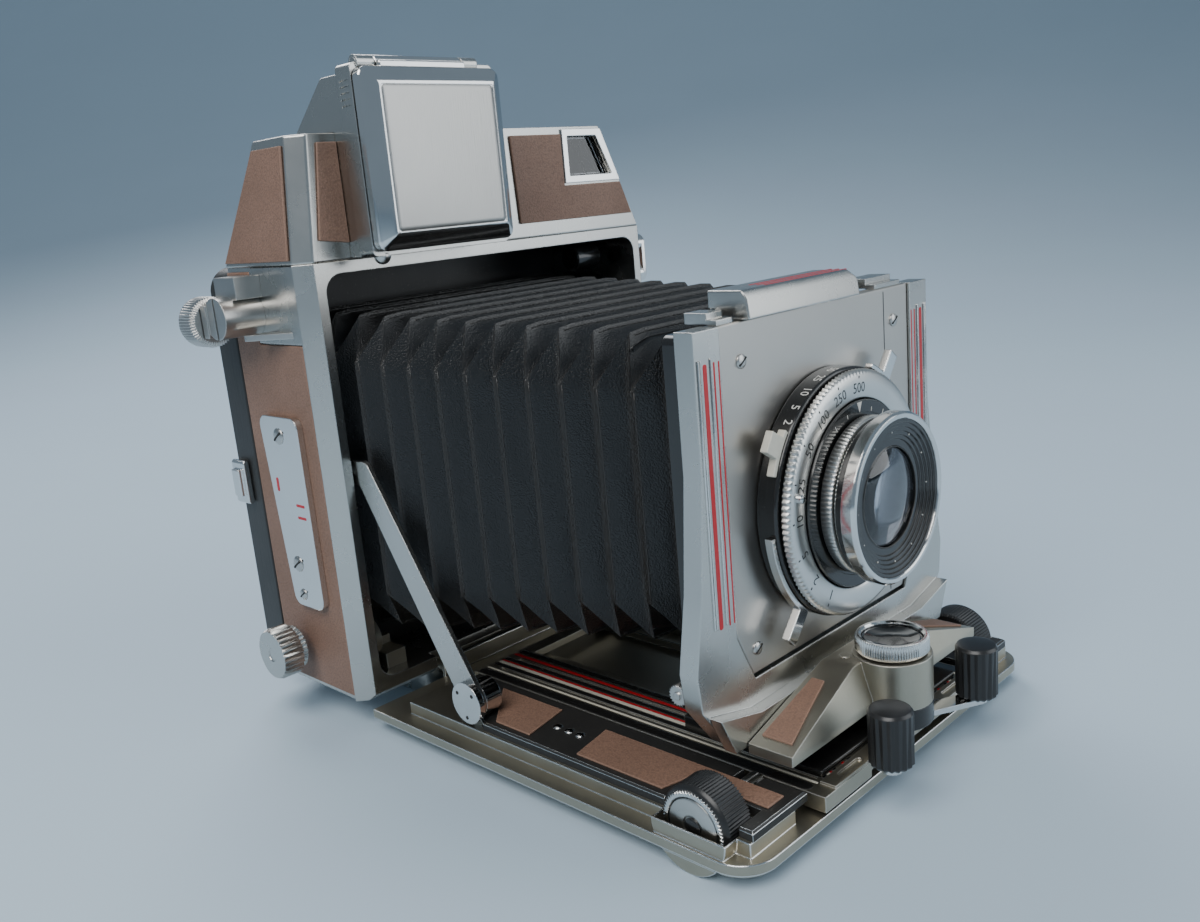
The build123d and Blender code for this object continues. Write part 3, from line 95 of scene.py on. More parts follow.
# Places that several pieces share, in millimetres, read from the frame.
LENS_Z = float((span("speed_ring")[0][2] + span("speed_ring")[1][2]) / 2)
BOARD_FACE = float(span("lens_board")[0][1])
ARM_FACE = BOARD_FACE - 0.6
TRACK_TOP = float(span("track")[1][2]) - 0.6
COVER_TOP = float(span("bed_covers")[1][2])
LATCH_TOP = float(span("board_latch")[1][2])
# Distances in front of the tripod socket of the faces that carry lines and numerals.
DIAL_FACE, INDEX_FACE, APERTURE_FACE, CONE_FACE = 143.4, 143.85, 147.1, 151.95
# The bellows' ends, and where its two pieces meet.
BELLOWS_FRONT, BELLOWS_BACK, BELLOWS_JOINT = -126.0, 8.0, -112.0
# Centres of parts that come in pairs or stand on an axis, and of the finder cover.
LOCK_POST, RISE_WHEEL = (0.0, -150.5, 0.0), (-50.2, -126.6, 32.6)
FOCUS_KNOB = (52.0, -137.9, 10.1)
PIVOT_X, PIVOT_Y, PIVOT_Z = 60.2, -63.0, 17.4
LID_X, LID_Z, LID_BACK = -28.5, 153.8, -36.3
FRONT, UP, RIGHT, LEFT = (0.0, -1.0, 0.0), (0.0, 0.0, 1.0), (1.0, 0.0, 0.0), (-1.0, 0.0, 0.0)
BOTH_SIDES = (-1, 1)


# ---- mesh building ----


def build_mesh(name, points, faces):
    """Puts points in millimetres, and arrays of triangles or quads, into a new mesh in metres."""
    mesh = bpy.data.meshes.new(name)
    mesh.vertices.add(len(points))
    mesh.vertices.foreach_set("co", (points * MM).astype(np.float32).ravel())
    corners = np.concatenate([f.ravel() for f in faces])
    sizes = np.concatenate([np.full(len(f), f.shape[1]) for f in faces])
    mesh.loops.add(len(corners))
    mesh.loops.foreach_set("vertex_index", corners.astype(np.int32))
    mesh.polygons.add(len(sizes))
    mesh.polygons.foreach_set("loop_start", (np.cumsum(sizes) - sizes).astype(np.int32))
    mesh.update(calc_edges=True)
    mesh.validate()
    return mesh


def outward(points, faces):
    """The faces, turned round if together they hold a negative volume."""
    volume = 0.0
    for f in faces:
        a = points[f[:, 0]]
        for k in range(1, f.shape[1] - 1):
            volume += np.einsum("ij,ij->i", a, np.cross(points[f[:, k]], points[f[:, k + 1]])).sum()
    return faces if volume > 0 else [f[:, ::-1] for f in faces]


def new_object(name, data):
    """A new object, put in the scene."""
    made = bpy.data.objects.new(name, data)
    bpy.context.scene.collection.objects.link(made)
    return made


def settle(name, mesh, body, finish, node=None, slot=None, sharp=34.0):
    """Makes the object, gives it its finish, and ties it to its CAD body; its slot is looked up but not
    kept. A node named here is the CAD node that the object takes the place of."""
    piece = new_object(name, mesh)
    mesh.polygons.foreach_set("use_smooth", [True] * len(mesh.polygons))
    if sharp:
        mesh.set_sharp_from_angle(angle=radians(sharp))
    mesh.materials.clear()
    mesh.materials.append(FINISHES[finish])
    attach(piece, body)
    slot or SLOTS.get(finish, "black_paint")
    if node:
        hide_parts(node)
    return piece


def grid_quads(rows, columns, close_rows=False, close_columns=False):
    """Quads of a grid of points stored row by row, wrapping round where asked."""
    r = np.arange(rows if close_rows else rows - 1)[:, None]
    c = np.arange(columns if close_columns else columns - 1)[None, :]
    r1, c1 = (r + 1) % rows, (c + 1) % columns
    parts = (r * columns + c, r * columns + c1, r1 * columns + c1, r1 * columns + c)
    return np.stack(np.broadcast_arrays(*parts), -1).reshape(-1, 4)


def axes_of(direction):
    """Two unit vectors across a direction, and the direction itself."""
    d = np.array(direction, float)
    d /= np.linalg.norm(d)
    first = np.array((0.0, 0.0, 1.0)) if abs(d[2]) < 0.9 else np.array((0.0, 1.0, 0.0))
    a = np.cross(first, d)
    a /= np.linalg.norm(a)
    return a, np.cross(d, a), d


def turned(profile, centre, direction, columns=96, teeth=0, depth=0.0, toothed=(), sharpness=0.5):
    """Surface of revolution: each profile point (radius, height) is swept round the direction.
    The rows named in toothed have their radius cut by depth times a wave with that many teeth.
    A profile that starts or ends on the axis is closed with a fan, and one that doesn't is
    joined back to its start."""
    profile = np.array(profile, float)
    if teeth:
        columns = teeth * 4
    angle = np.arange(columns) * tau / columns
    wave = np.abs(((angle * teeth / tau) % 1.0) - 0.5) * 2.0 if teeth else np.zeros(columns)
    wave = np.clip((wave - 0.5) / max(sharpness, 0.05) + 0.5, 0.0, 1.0)
    a, b, d = axes_of(direction)
    on_axis = profile[:, 0] < 1e-6
    rows = np.flatnonzero(~on_axis)
    cut = np.isin(rows, np.array(toothed, int)) * depth
    radius = profile[rows, 0][:, None] - cut[:, None] * wave[None, :]
    ring = np.cos(angle)[:, None] * a + np.sin(angle)[:, None] * b
    points = (np.array(centre, float) + radius[:, :, None] * ring[None]
              + profile[rows, 1][:, None, None] * d).reshape(-1, 3)
    faces = [grid_quads(len(rows), columns, close_rows=not on_axis.any(), close_columns=True)]
    k = np.arange(columns)
    if on_axis[0]:
        points = np.vstack([points, np.array(centre) + profile[0, 1] * d])
        faces.append(np.stack([np.full(columns, len(points) - 1), (k + 1) % columns, k], 1))
    if on_axis[-1]:
        last = (len(rows) - 1) * columns
        points = np.vstack([points, np.array(centre) + profile[-1, 1] * d])
        faces.append(np.stack([np.full(columns, len(points) - 1), last + k, last + (k + 1) % columns], 1))
    return points, outward(points, faces)


def rounded_outline(width, height, radius, arc=6):
    """Closed outline of a rectangle with quarter-circle corners, round the origin."""
    turn = np.linspace(0, pi / 2, arc)
    corners = []
    for quarter, (sx, sy) in enumerate(((1, 1), (-1, 1), (-1, -1), (1, -1))):
        centre = np.array((sx * (width / 2 - radius), sy * (height / 2 - radius)))
        spread = turn + quarter * pi / 2
        corners.append(centre + radius * np.stack([np.cos(spread), np.sin(spread)], 1))
    return np.vstack(corners)


def corner_normals(outline):
    """Outward miter vector at each point of a closed outline that runs anticlockwise."""
    before = outline - np.roll(outline, 1, 0)
    after = np.roll(outline, -1, 0) - outline
    n1 = np.stack([before[:, 1], -before[:, 0]], 1)
    n2 = np.stack([after[:, 1], -after[:, 0]], 1)
    n1 /= np.linalg.norm(n1, axis=1)[:, None]
    n2 /= np.linalg.norm(n2, axis=1)[:, None]
    return (n1 + n2) / (1 + np.einsum("ij,ij->i", n1, n2))[:, None]


def carried(outline, profile, place, ring=False):
    """A profile of (inset, height) points carried round a closed outline. A plate is closed by a
    face at each end of its profile, and a ring joins its profile's end to its start.
    place turns (across, up, height) arrays into points."""
    outline = np.array(outline, float)
    area = np.sum(outline[:, 0] * np.roll(outline[:, 1], -1) - outline[:, 1] * np.roll(outline[:, 0], -1))
    if area < 0:
        outline = outline[::-1]
    profile = np.array(profile, float)
    normal = corner_normals(outline)
    flat = outline[None] - profile[:, 0][:, None, None] * normal[None]
    height = np.broadcast_to(profile[:, 1][:, None], flat.shape[:2])
    points = place(flat[..., 0].ravel(), flat[..., 1].ravel(), height.ravel())
    rows, columns = flat.shape[:2]
    faces = [grid_quads(rows, columns, close_rows=ring, close_columns=True)]
    if not ring:
        first, last = np.arange(columns)[::-1], (rows - 1) * columns + np.arange(columns)
        faces += [first[None], last[None]]
    return points, outward(points, faces)


def pillow(width, height, radius, profile, place):
    """A plate made of rounded rectangles: each (inset, height) level keeps a corner radius of at
    least 0.5 mm, so deep insets don't cross at the corners."""
    levels = []
    for inset, level in profile:
        outline = rounded_outline(width - 2 * inset, height - 2 * inset, max(radius - inset, 0.5), 6)
        levels.append(place(outline[:, 0], outline[:, 1], np.full(len(outline), float(level))))
    points = np.vstack(levels)
    rows, columns = len(profile), len(levels[0])
    ends = [np.arange(columns)[::-1][None], ((rows - 1) * columns + np.arange(columns))[None]]
    return points, outward(points, [grid_quads(rows, columns, close_columns=True), *ends])


def facing_front(x, z, y):
    """Place for an outline seen from the front: height grows towards the front."""
    return lambda a, b, h: np.stack([x + a, y - h, z + b], 1)


def facing_up(x, y, z):
    """Place for an outline seen from above: height grows upwards."""
    return lambda a, b, h: np.stack([x + a, y + b, z + h], 1)


def facing_left(x, y, z):
    """Place for an outline on the left wall: a runs along Y, b up, and height outwards."""
    return lambda a, b, h: np.stack([x - h, y + a, z + b], 1)


def join_shapes(*shapes):
    """Several (points, faces) shapes as one."""
    points, faces, start = [], [], 0
    for p, fs in shapes:
        points.append(p)
        faces += [f + start for f in fs]
        start += len(p)
    return np.vstack(points), faces


def thin_strip(width, height, place):
    """A painted line: a low plate with rounded ends."""
    outline = rounded_outline(width, height, min(width, height) * 0.4, 4)
    return carried(outline, [(0.0, -0.2), (0.0, 0.03), (0.04, 0.06)], place)


def lettered(text, size, place, thickness=0.06):
    """A numeral as a solid: the font's flat outline, thickened, centred, and put in place."""
    curve = bpy.data.curves.new("numeral", "FONT")
    curve.body, curve.size, curve.extrude = text, size * MM, thickness * MM / 2
    curve.align_x, curve.align_y, curve.resolution_u = "CENTER", "CENTER", 2
    holder = bpy.data.objects.new("numeral", curve)
    mesh = bpy.data.meshes.new_from_object(holder)
    points = np.zeros(len(mesh.vertices) * 3)
    mesh.vertices.foreach_get("co", points)
    points = points.reshape(-1, 3) / MM
    mesh.calc_loop_triangles()
    triangles = np.zeros(len(mesh.loop_triangles) * 3, np.int32)
    mesh.loop_triangles.foreach_get("vertices", triangles)
    bpy.data.objects.remove(holder)
    bpy.data.curves.remove(curve)
    bpy.data.meshes.remove(mesh)
    return place(points[:, 0], points[:, 1], points[:, 2]), [triangles.reshape(-1, 3)]


def edged(node, finish, width, slot=None):
    """A copy of a CAD node with its doubled points merged and its edges rounded."""
    source, name = frame["nodes"][node], node + "_shown"
    mesh = source.data.copy()
    work = bmesh.new()
    work.from_mesh(mesh)
    bmesh.ops.remove_doubles(work, verts=work.verts, dist=2e-6)
    if node not in RING_SHAPED:
        bmesh.ops.dissolve_limit(work, angle_limit=radians(0.6), verts=work.verts, edges=work.edges)
    work.to_mesh(mesh)
    work.free()
    mesh.name = name
    piece = settle(name, mesh, source["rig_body"], finish, node, slot, sharp=EDGE_ANGLE)
    bevel = piece.modifiers.new("rounded edges", "BEVEL")
    bevel.width, bevel.segments, bevel.angle_limit = width * MM, 2, radians(EDGE_ANGLE)
    bevel.limit_method, bevel.use_clamp_overlap = "ANGLE", True
    bevel.miter_outer = "MITER_ARC"
    if node in CHROME_EDGES:
        mesh.materials.append(FINISHES["bright chrome"])
        bevel.material = 1
    normals = piece.modifiers.new("flat faces", "WEIGHTED_NORMAL")
    normals.keep_sharp = False


def add_piece(name, shapes, body, finish, node=None, slot=None, sharp=34.0):
    """Joins shapes into one piece and settles it."""
    settle(name, build_mesh(name, *join_shapes(*shapes)), body, finish, node, slot, sharp)


# ---- finishes ----

FINISHES = {}
GROUPS = {}


def add_node(tree, kind, **values):
    """Adds a node. A value named i_NAME sets that input; the rest set the node's own settings."""
    node = tree.nodes.new(kind)
    for key, value in values.items():
        if key.startswith("i_"):
            node.inputs[key[2:].replace("_", " ")].default_value = value
        else:
            setattr(node, key, value)
    return node


def start_group(name, inputs, outputs):
    """A new shader node group with named inputs (name, default) and float or vector outputs."""
    tree = bpy.data.node_groups.new(name, "ShaderNodeTree")
    for label, default in inputs:
        socket = tree.interface.new_socket(label, in_out="INPUT", socket_type="NodeSocketFloat")
        socket.default_value = default
    for label in outputs:
        tree.interface.new_socket(label, in_out="OUTPUT", socket_type="NodeSocketFloat")
    GROUPS[name] = tree
    return tree, tree.nodes.new("NodeGroupInput"), tree.nodes.new("NodeGroupOutput")


def link(source, target):
    """Joins two sockets of one tree."""
    source.id_data.links.new(source, target)


def math_node(operation, *values, clamp=False):
    """A Math node of numbers and sockets, at least one of which is a socket."""
    tree = next(value.id_data for value in values if not isinstance(value, (int, float)))
    node = add_node(tree, "ShaderNodeMath", operation=operation, use_clamp=clamp)
    for socket, value in zip(node.inputs, values):
        set_or_link(value, socket)
    return node.outputs[0]


def set_or_link(value, socket):
    """Gives a socket a number, or a colour without its alpha, or links another socket to it."""
    if isinstance(value, tuple):
        socket.default_value = (*value, 1.0)
    elif isinstance(value, (int, float)):
        socket.default_value = value
    else:
        link(value, socket)


def noise(vector, scale, detail=3.0, rough=0.5):
    """Noise value of a vector socket; scale is a number or a socket."""
    node = add_node(vector.id_data, "ShaderNodeTexNoise", i_Detail=detail, i_Roughness=rough)
    set_or_link(scale, node.inputs["Scale"])
    link(vector, node.inputs["Vector"])
    return node.outputs["Fac"]


def object_place(tree):
    """Socket with each point's place on its own object."""
    return tree.nodes.new("ShaderNodeTexCoord").outputs["Object"]


def make_groups():
    """Effects that several finishes share."""
    # edge wear: how far a normal averaged over a short reach leans from the true one
    tree, given, out = start_group("Edge Wear", [("Reach", 0.0004), ("Amount", 1.0)], ["Mask"])
    bevel = add_node(tree, "ShaderNodeBevel", samples=4)
    link(given.outputs["Reach"], bevel.inputs["Radius"])
    facing = tree.nodes.new("ShaderNodeNewGeometry")
    dot = add_node(tree, "ShaderNodeVectorMath", operation="DOT_PRODUCT")
    link(bevel.outputs["Normal"], dot.inputs[0])
    link(facing.outputs["Normal"], dot.inputs[1])
    lean = math_node("MULTIPLY", math_node("SUBTRACT", 1.0, dot.outputs["Value"]), 5.0)
    where = object_place(tree)
    broken = math_node("MULTIPLY", lean, math_node("ADD", noise(where, 420.0), 0.2))
    link(math_node("MULTIPLY", broken, given.outputs["Amount"], clamp=True), out.inputs["Mask"])
    # pebble grain: rounded cells of two sizes
    tree, given, out = start_group("Pebble Grain", [("Scale", 900.0)], ["Height", "Tone"])
    where = object_place(tree)
    cells = add_node(tree, "ShaderNodeTexVoronoi", feature="SMOOTH_F1", i_Smoothness=0.6)
    link(where, cells.inputs["Vector"])
    link(given.outputs["Scale"], cells.inputs["Scale"])
    small = noise(where, math_node("MULTIPLY", given.outputs["Scale"], 1.7), 2.0)
    height = math_node("SUBTRACT", math_node("MULTIPLY", small, 0.5), cells.outputs["Distance"])
    link(height, out.inputs["Height"])
    link(noise(where, 45.0, 4.0, 0.6), out.inputs["Tone"])
    # handling marks: smudges and fine streaks
    tree, given, out = start_group("Handling Marks", [("Scale", 60.0), ("Streaks", 1.0)],
                                   ["Value", "Height"])
    where = object_place(tree)
    smudge = noise(where, given.outputs["Scale"], 5.0, 0.62)
    stretch = add_node(tree, "ShaderNodeMapping")
    stretch.inputs["Scale"].default_value = (1.0, 1.0, 0.06)
    link(where, stretch.inputs["Vector"])
    fine = noise(stretch.outputs["Vector"], 2600.0, 2.0)
    link(smudge, out.inputs["Value"])
    link(math_node("MULTIPLY", fine, given.outputs["Streaks"]), out.inputs["Height"])
    # settled dust: small specks, thicker on faces that look up
    tree, given, out = start_group("Settled Dust", [("Amount", 0.4)], ["Mask"])
    where = object_place(tree)
    upward = add_node(tree, "ShaderNodeSeparateXYZ")
    link(tree.nodes.new("ShaderNodeNewGeometry").outputs["Normal"], upward.inputs[0])
    up = math_node("MULTIPLY_ADD", upward.outputs["Z"], 0.5, 0.5, clamp=True)
    specks = math_node("GREATER_THAN", noise(where, 1500.0, 2.0), 0.69)
    film = math_node("MULTIPLY", noise(where, 90.0, 4.0), 0.35)
    mask = math_node("MULTIPLY", math_node("ADD", specks, film), up)
    link(math_node("MULTIPLY", mask, given.outputs["Amount"], clamp=True), out.inputs["Mask"])


def use_group(tree, name, **values):
    """A node of one of the shared groups, with its inputs set."""
    node = tree.nodes.new("ShaderNodeGroup")
    node.node_tree = GROUPS[name]
    for key, value in values.items():
        node.inputs[key].default_value = value
    return node


def mix_colour(factor, first, second):
    """Mix of two colours by a factor socket; each colour is a tuple or a socket."""
    node = add_node(factor.id_data, "ShaderNodeMix", data_type="RGBA")
    for index, value in ((0, factor), (6, first), (7, second)):
        set_or_link(value, node.inputs[index])
    return node.outputs[2]


def darker(colour, share):
    """A colour with each channel multiplied by a share."""
    return tuple(channel * share for channel in colour)


def start_finish(name, **shader):
    """A material with a Principled shader whose uniform values are set on its own sockets."""
    material = bpy.data.materials.new(name)
    material.use_nodes = True
    tree = material.node_tree
    bsdf = tree.nodes["Principled BSDF"]
    for key, value in shader.items():
        bsdf.inputs[key.replace("_", " ")].default_value = value
    FINISHES[name] = material
    return tree, bsdf


def metal(name, colour, dark, rough, spread, bump=0.02, scale=60.0, wear=0.5, dust=0.0, metallic=1.0,
          coat=0.0, streaks=1.0, wear_colour=(0.86, 0.85, 0.82)):
    """Metal or enamel: colour and roughness drift with handling marks, edges are rubbed bright,
    and dust settles on top faces."""
    tree, bsdf = start_finish(name, Metallic=metallic, Coat_Weight=coat, Coat_Roughness=0.08)
    marks = use_group(tree, "Handling Marks", Scale=scale, Streaks=streaks)
    wear_group = use_group(tree, "Edge Wear", Reach=0.0004, Amount=wear)
    shade = mix_colour(marks.outputs["Value"], dark, colour)
    shade = mix_colour(wear_group.outputs["Mask"], shade, wear_colour)
    if dust:
        film = use_group(tree, "Settled Dust", Amount=dust).outputs["Mask"]
        shade = mix_colour(film, shade, (0.52, 0.5, 0.45))
    link(shade, bsdf.inputs["Base Color"])
    link(math_node("MULTIPLY_ADD", marks.outputs["Value"], spread, rough - spread / 2),
         bsdf.inputs["Roughness"])
    soft = add_node(tree, "ShaderNodeBevel", samples=4, i_Radius=0.00035)
    height = add_bump(bsdf, marks.outputs["Height"], bump, 0.0002)
    link(soft.outputs["Normal"], height.inputs["Normal"])


def add_bump(bsdf, height, strength, distance):
    """Feeds a height socket to the shader through a Bump node."""
    bump = add_node(bsdf.id_data, "ShaderNodeBump", i_Strength=strength, i_Distance=distance)
    link(height, bump.inputs["Height"])
    link(bump.outputs["Normal"], bsdf.inputs["Normal"])
    return bump


def leather(name, colour, wear_and_highlight_colour, rough, scale, bump, fold=None, coat=0.0):
    """Grained leather, lighter and smoother where it is rubbed; along the bellows' folds the lighter colour
    is rubbing wear and a painted highlight.
    """
    tree, bsdf = start_finish(name, Specular_IOR_Level=0.42, Coat_Weight=coat, Coat_Roughness=0.24)
    grain = use_group(tree, "Pebble Grain", Scale=scale)
    drift = math_node("MULTIPLY_ADD", grain.outputs["Tone"], 2.2, -0.7, clamp=True)
    pits = math_node("MULTIPLY_ADD", grain.outputs["Height"], 0.9, 0.75, clamp=True)
    shade = mix_colour(drift, darker(colour, 0.72), colour)
    shade = mix_colour(pits, darker(colour, 0.45), shade)
    wear_and_highlight = use_group(tree, "Edge Wear", Reach=0.0006, Amount=0.8).outputs["Mask"]
    # on the bellows the folds are painted lighter: partly rubbing wear, partly a painted highlight
    if fold:
        attribute = add_node(tree, "ShaderNodeAttribute", attribute_name=fold)
        wear_and_highlight = math_node("MULTIPLY", attribute.outputs["Fac"], 0.55)
    shade = mix_colour(wear_and_highlight, shade, wear_and_highlight_colour)
    link(shade, bsdf.inputs["Base Color"])
    smoother = math_node("MULTIPLY_ADD", drift, -0.14, rough + 0.07)
    link(math_node("MULTIPLY_ADD", wear_and_highlight, -0.12, smoother, clamp=True), bsdf.inputs["Roughness"])
    add_bump(bsdf, grain.outputs["Height"], bump, 0.0003)


def paint(name, colour, rough):
    """Ink or enamel in a thin layer, a little uneven."""
    tree, bsdf = start_finish(name)
    patches = noise(object_place(tree), 700.0)
    link(mix_colour(patches, darker(colour, 0.8), colour), bsdf.inputs["Base Color"])
    link(math_node("MULTIPLY_ADD", patches, 0.2, rough - 0.1), bsdf.inputs["Roughness"])


def clear_glass(name, tint, rough=0.0, ior=1.6):
    """Coated glass: a plain clear shader, with faint dust in its roughness."""
    tree, bsdf = start_finish(name, Transmission_Weight=1.0, IOR=ior, Base_Color=(*tint, 1.0),
                              Coat_Weight=0.2, Coat_Roughness=0.02)
    where = object_place(tree)
    specks = math_node("GREATER_THAN", noise(where, 900.0, 2.0), 0.72)
    link(math_node("MULTIPLY_ADD", specks, 0.05, rough), bsdf.inputs["Roughness"])


def make_finishes(palette):
    """Every finish on the camera."""
    satin = tuple(palette.satin_metal)
    tan = tuple(palette.covering)
    metal("satin chrome", satin, darker(satin, 0.86), 0.27, 0.12, bump=0.03, dust=0.1)
    metal("bright chrome", (0.78, 0.78, 0.77), (0.68, 0.68, 0.67), 0.1, 0.08, bump=0.01)
    metal("board metal", (0.53, 0.51, 0.48), (0.46, 0.44, 0.41), 0.36, 0.1, bump=0.05, scale=35.0,
          dust=0.35)
    metal("bed alloy", (0.5, 0.47, 0.39), (0.36, 0.33, 0.26), 0.42, 0.16, bump=0.08, dust=0.5, wear=0.8)
    metal("turned steel", (0.6, 0.59, 0.57), (0.45, 0.44, 0.42), 0.3, 0.16, bump=0.05)
    metal("dial silver", (0.72, 0.72, 0.7), (0.6, 0.6, 0.58), 0.3, 0.1, bump=0.02)
    metal("brushed centre", (0.5, 0.49, 0.47), (0.4, 0.39, 0.37), 0.36, 0.16, bump=0.14, streaks=1.5)
    metal("gloss black", (0.008, 0.008, 0.009), (0.01, 0.01, 0.01), 0.06, 0.06, metallic=0.0, coat=1.0,
          wear=0.0)
    metal("brass", (0.7, 0.5, 0.25), (0.5, 0.33, 0.14), 0.32, 0.15, wear_colour=(0.85, 0.7, 0.4))
    metal("black enamel", (0.006, 0.006, 0.0065), (0.01, 0.0095, 0.009), 0.17, 0.1, metallic=0.0, coat=0.3,
          wear=0.2, dust=0.04, wear_colour=(0.4, 0.39, 0.36))
    metal("black crackle", (0.012, 0.012, 0.012), (0.02, 0.019, 0.018), 0.42, 0.15, bump=0.25, metallic=0.0,
          wear=0.2, dust=0.08, wear_colour=(0.35, 0.34, 0.32))
    metal("black plastic", (0.014, 0.014, 0.015), (0.02, 0.02, 0.02), 0.3, 0.12, metallic=0.0, wear=0.12,
          wear_colour=(0.25, 0.25, 0.25))
    # the lens tube's black lining, and painted shade on the dark strips and discs that stand for screw slots
    # and pivot holes
    metal("dark lining and painted shade", (0.015, 0.014, 0.013), (0.03, 0.028, 0.024), 0.75, 0.1, metallic=0.0, wear=0.0)
    leather("tan leather", tan, tuple(min(1.0, c * 1.25 + 0.03) for c in tan), 0.55, 2100.0, 0.35)
    # the bellows' lighter colour along its folds is partly rubbing wear, partly a painted highlight
    leather("bellows leather", tuple(palette.bellows), (0.06, 0.055, 0.05), 0.27, 2400.0, 0.45, fold="fold",
            coat=0.3)
    paint("red line", tuple(palette.red_line), 0.35)
    paint("white ink", (0.75, 0.73, 0.68), 0.45)
    paint("cream tab", (0.68, 0.64, 0.54), 0.4)
    paint("black ink", (0.02, 0.02, 0.02), 0.45)
    clear_glass("coated glass", (0.82, 0.84, 0.92))
    clear_glass("ground glass", (0.9, 0.92, 0.9), 0.45, 1.5)


# The finish of each CAD node that is shown as it is.
CAD_FINISHES = {
    "strut_pivots": "bright chrome", "focus_shafts": "turned steel", "hinge_pins": "turned steel",
    "finder_windows": "coated glass", "focusing_screen": "ground glass"}
# The material slot of each finish, where it isn't black_paint.
SLOTS = {
    "satin chrome": "satin_chrome", "bed alloy": "satin_chrome", "board metal": "satin_chrome",
    "brushed centre": "satin_chrome", "bright chrome": "bright_chrome", "turned steel": "steel",
    "dial silver": "steel", "brass": "brass", "tan leather": "tan_leather", "coated glass": "glass",
    "gloss black": "black_plastic", "black plastic": "black_plastic"}


# ---- settings ----


def colour_setting(name, description, default):
    """A colour property."""
    return bpy.props.FloatVectorProperty(
        name=name, description=description, subtype="COLOR", size=3, min=0.0, max=1.0, default=default)


def length_setting(name, description, default, low, high):
    """A length property, in metres."""
    return bpy.props.FloatProperty(
        name=name, description=description, subtype="DISTANCE", unit="LENGTH", default=default,
        min=low, max=high)


class CameraPalette(bpy.types.PropertyGroup):
    """Colours of the camera's main finishes."""

    satin_metal: colour_setting("Satin metal", "Body edges, standard and housing", (0.58, 0.575, 0.55))
    covering: colour_setting("Covering", "Leather on the body, housing and bed", (0.345, 0.2, 0.14))
    bellows: colour_setting("Bellows", "Leather of the bellows", (0.007, 0.0065, 0.0065))
    red_line: colour_setting("Red lines", "Lines on the arms, latch and track", (0.55, 0.012, 0.02))


class BellowsSettings(bpy.types.PropertyGroup):
    """How the bellows are folded."""

    folds: bpy.props.IntProperty(
        name="Folds", description="Pleats from the body to the standard", default=13, min=4, max=40)
    depth: length_setting("Fold depth", "How far a valley lies inside a ridge", 0.0052, 0.001, 0.01)
    corner: length_setting("Corner cut", "Size of the pointed facets at the corners", 0.0115, 0.002, 0.02)


class StageSettings(bpy.types.PropertyGroup):
    """Floor, light and camera."""

    key_power: bpy.props.FloatProperty(
        name="Key light", description="Power of the large soft light", subtype="POWER", unit="POWER",
        default=12.0, min=0.0)
    sky: bpy.props.FloatProperty(
        name="Sky", description="Strength of the even light from all round", default=0.34, min=0.0)
    floor: colour_setting("Floor", "Colour of the floor", (0.5, 0.62, 0.72))


# ---- the camera's pieces ----

# CAD nodes shown with rounded edges: finish, slot where it isn't the finish's own, edge widths in
# millimetres.
EDGED = (
    ("satin chrome", None, {
        "body_shell": 0.5, "top_housing": 0.6, "base_plate": 0.4, "finder_box": 0.4, "finder_frame": 0.45,
        "struts": 0.3, "standard_frame": 0.7, "latch_guides": 0.4, "board_latch": 0.5}),
    ("tan leather", None, {"body_leather": 0.3, "bed_leather": 0.15, "block_leather": 0.12}),
    ("black crackle", None, {"back_frame": 0.5, "screen_frame": 0.3, "hood_door": 0.5, "bed_covers": 0.3}),
    ("bright chrome", None, {
        "back_clip": 0.3, "side_plate": 0.4, "carry_lug": 0.5, "rangefinder_bezel": 0.2,
        "left_grip_lever": 0.25, "right_grip_lever": 0.25}),
    ("turned steel", None, {"side_bracket": 0.35, "focus_racks": 0.08}),
    ("bed alloy", None, {"bed": 0.6, "track": 0.25, "lock_block": 0.6}),
    ("black enamel", None, {
        "carriage_base": 0.4, "lever_hub": 0.35, "bellows_frame": 0.3, "shutter": 0.3, "rear_cell": 0.3}),
    ("board metal", None, {"lens_board": 0.4}),
    ("bed alloy", "steel", {"bed_catch": 0.3}),
    ("bright chrome", "steel", {"cocking_lever": 0.25, "release_lever": 0.25}),
    ("cream tab", "steel", {"sync_lever": 0.25}),
)
# Edges that turn by more than this many degrees are rounded, on two nodes in chrome.
EDGE_ANGLE = 32.0
CHROME_EDGES = ("bed_covers", "bed")
# Flat faces of these go round a hole, so they stay as triangles.
RING_SHAPED = ("track", "left_grip_lever", "right_grip_lever")


class CAMERA_OT_castings(bpy.types.Operator):
    """Show the cast and stamped parts with rounded edges and their finishes"""

    bl_idname = "camera.castings"
    bl_label = "Castings"

    def execute(self, context):
        for node, finish in CAD_FINISHES.items():
            mesh = frame["nodes"][node].data
            mesh.materials.clear()
            mesh.materials.append(FINISHES[finish])
        for finish, slot, widths in EDGED:
            for node, width in widths.items():
                edged(node, finish, width, slot)
        return {"FINISHED"}


class CAMERA_OT_bellows(bpy.types.Operator):
    """Fold the bellows: a long piece behind the carriage and a short one in front of it"""

    bl_idname = "camera.bellows"
    bl_label = "Bellows"

    def execute(self, context):
        settings = context.scene.camera_bellows
        rear = bellows_piece("rear_bellows", "bellows", settings, BELLOWS_JOINT, BELLOWS_BACK)
        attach(rear, "focus_track")
        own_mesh(rear)
        short = bellows_piece("front_bellows", "bellows_front", settings, BELLOWS_FRONT, BELLOWS_JOINT)
        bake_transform(short)
        return {"FINISHED"}


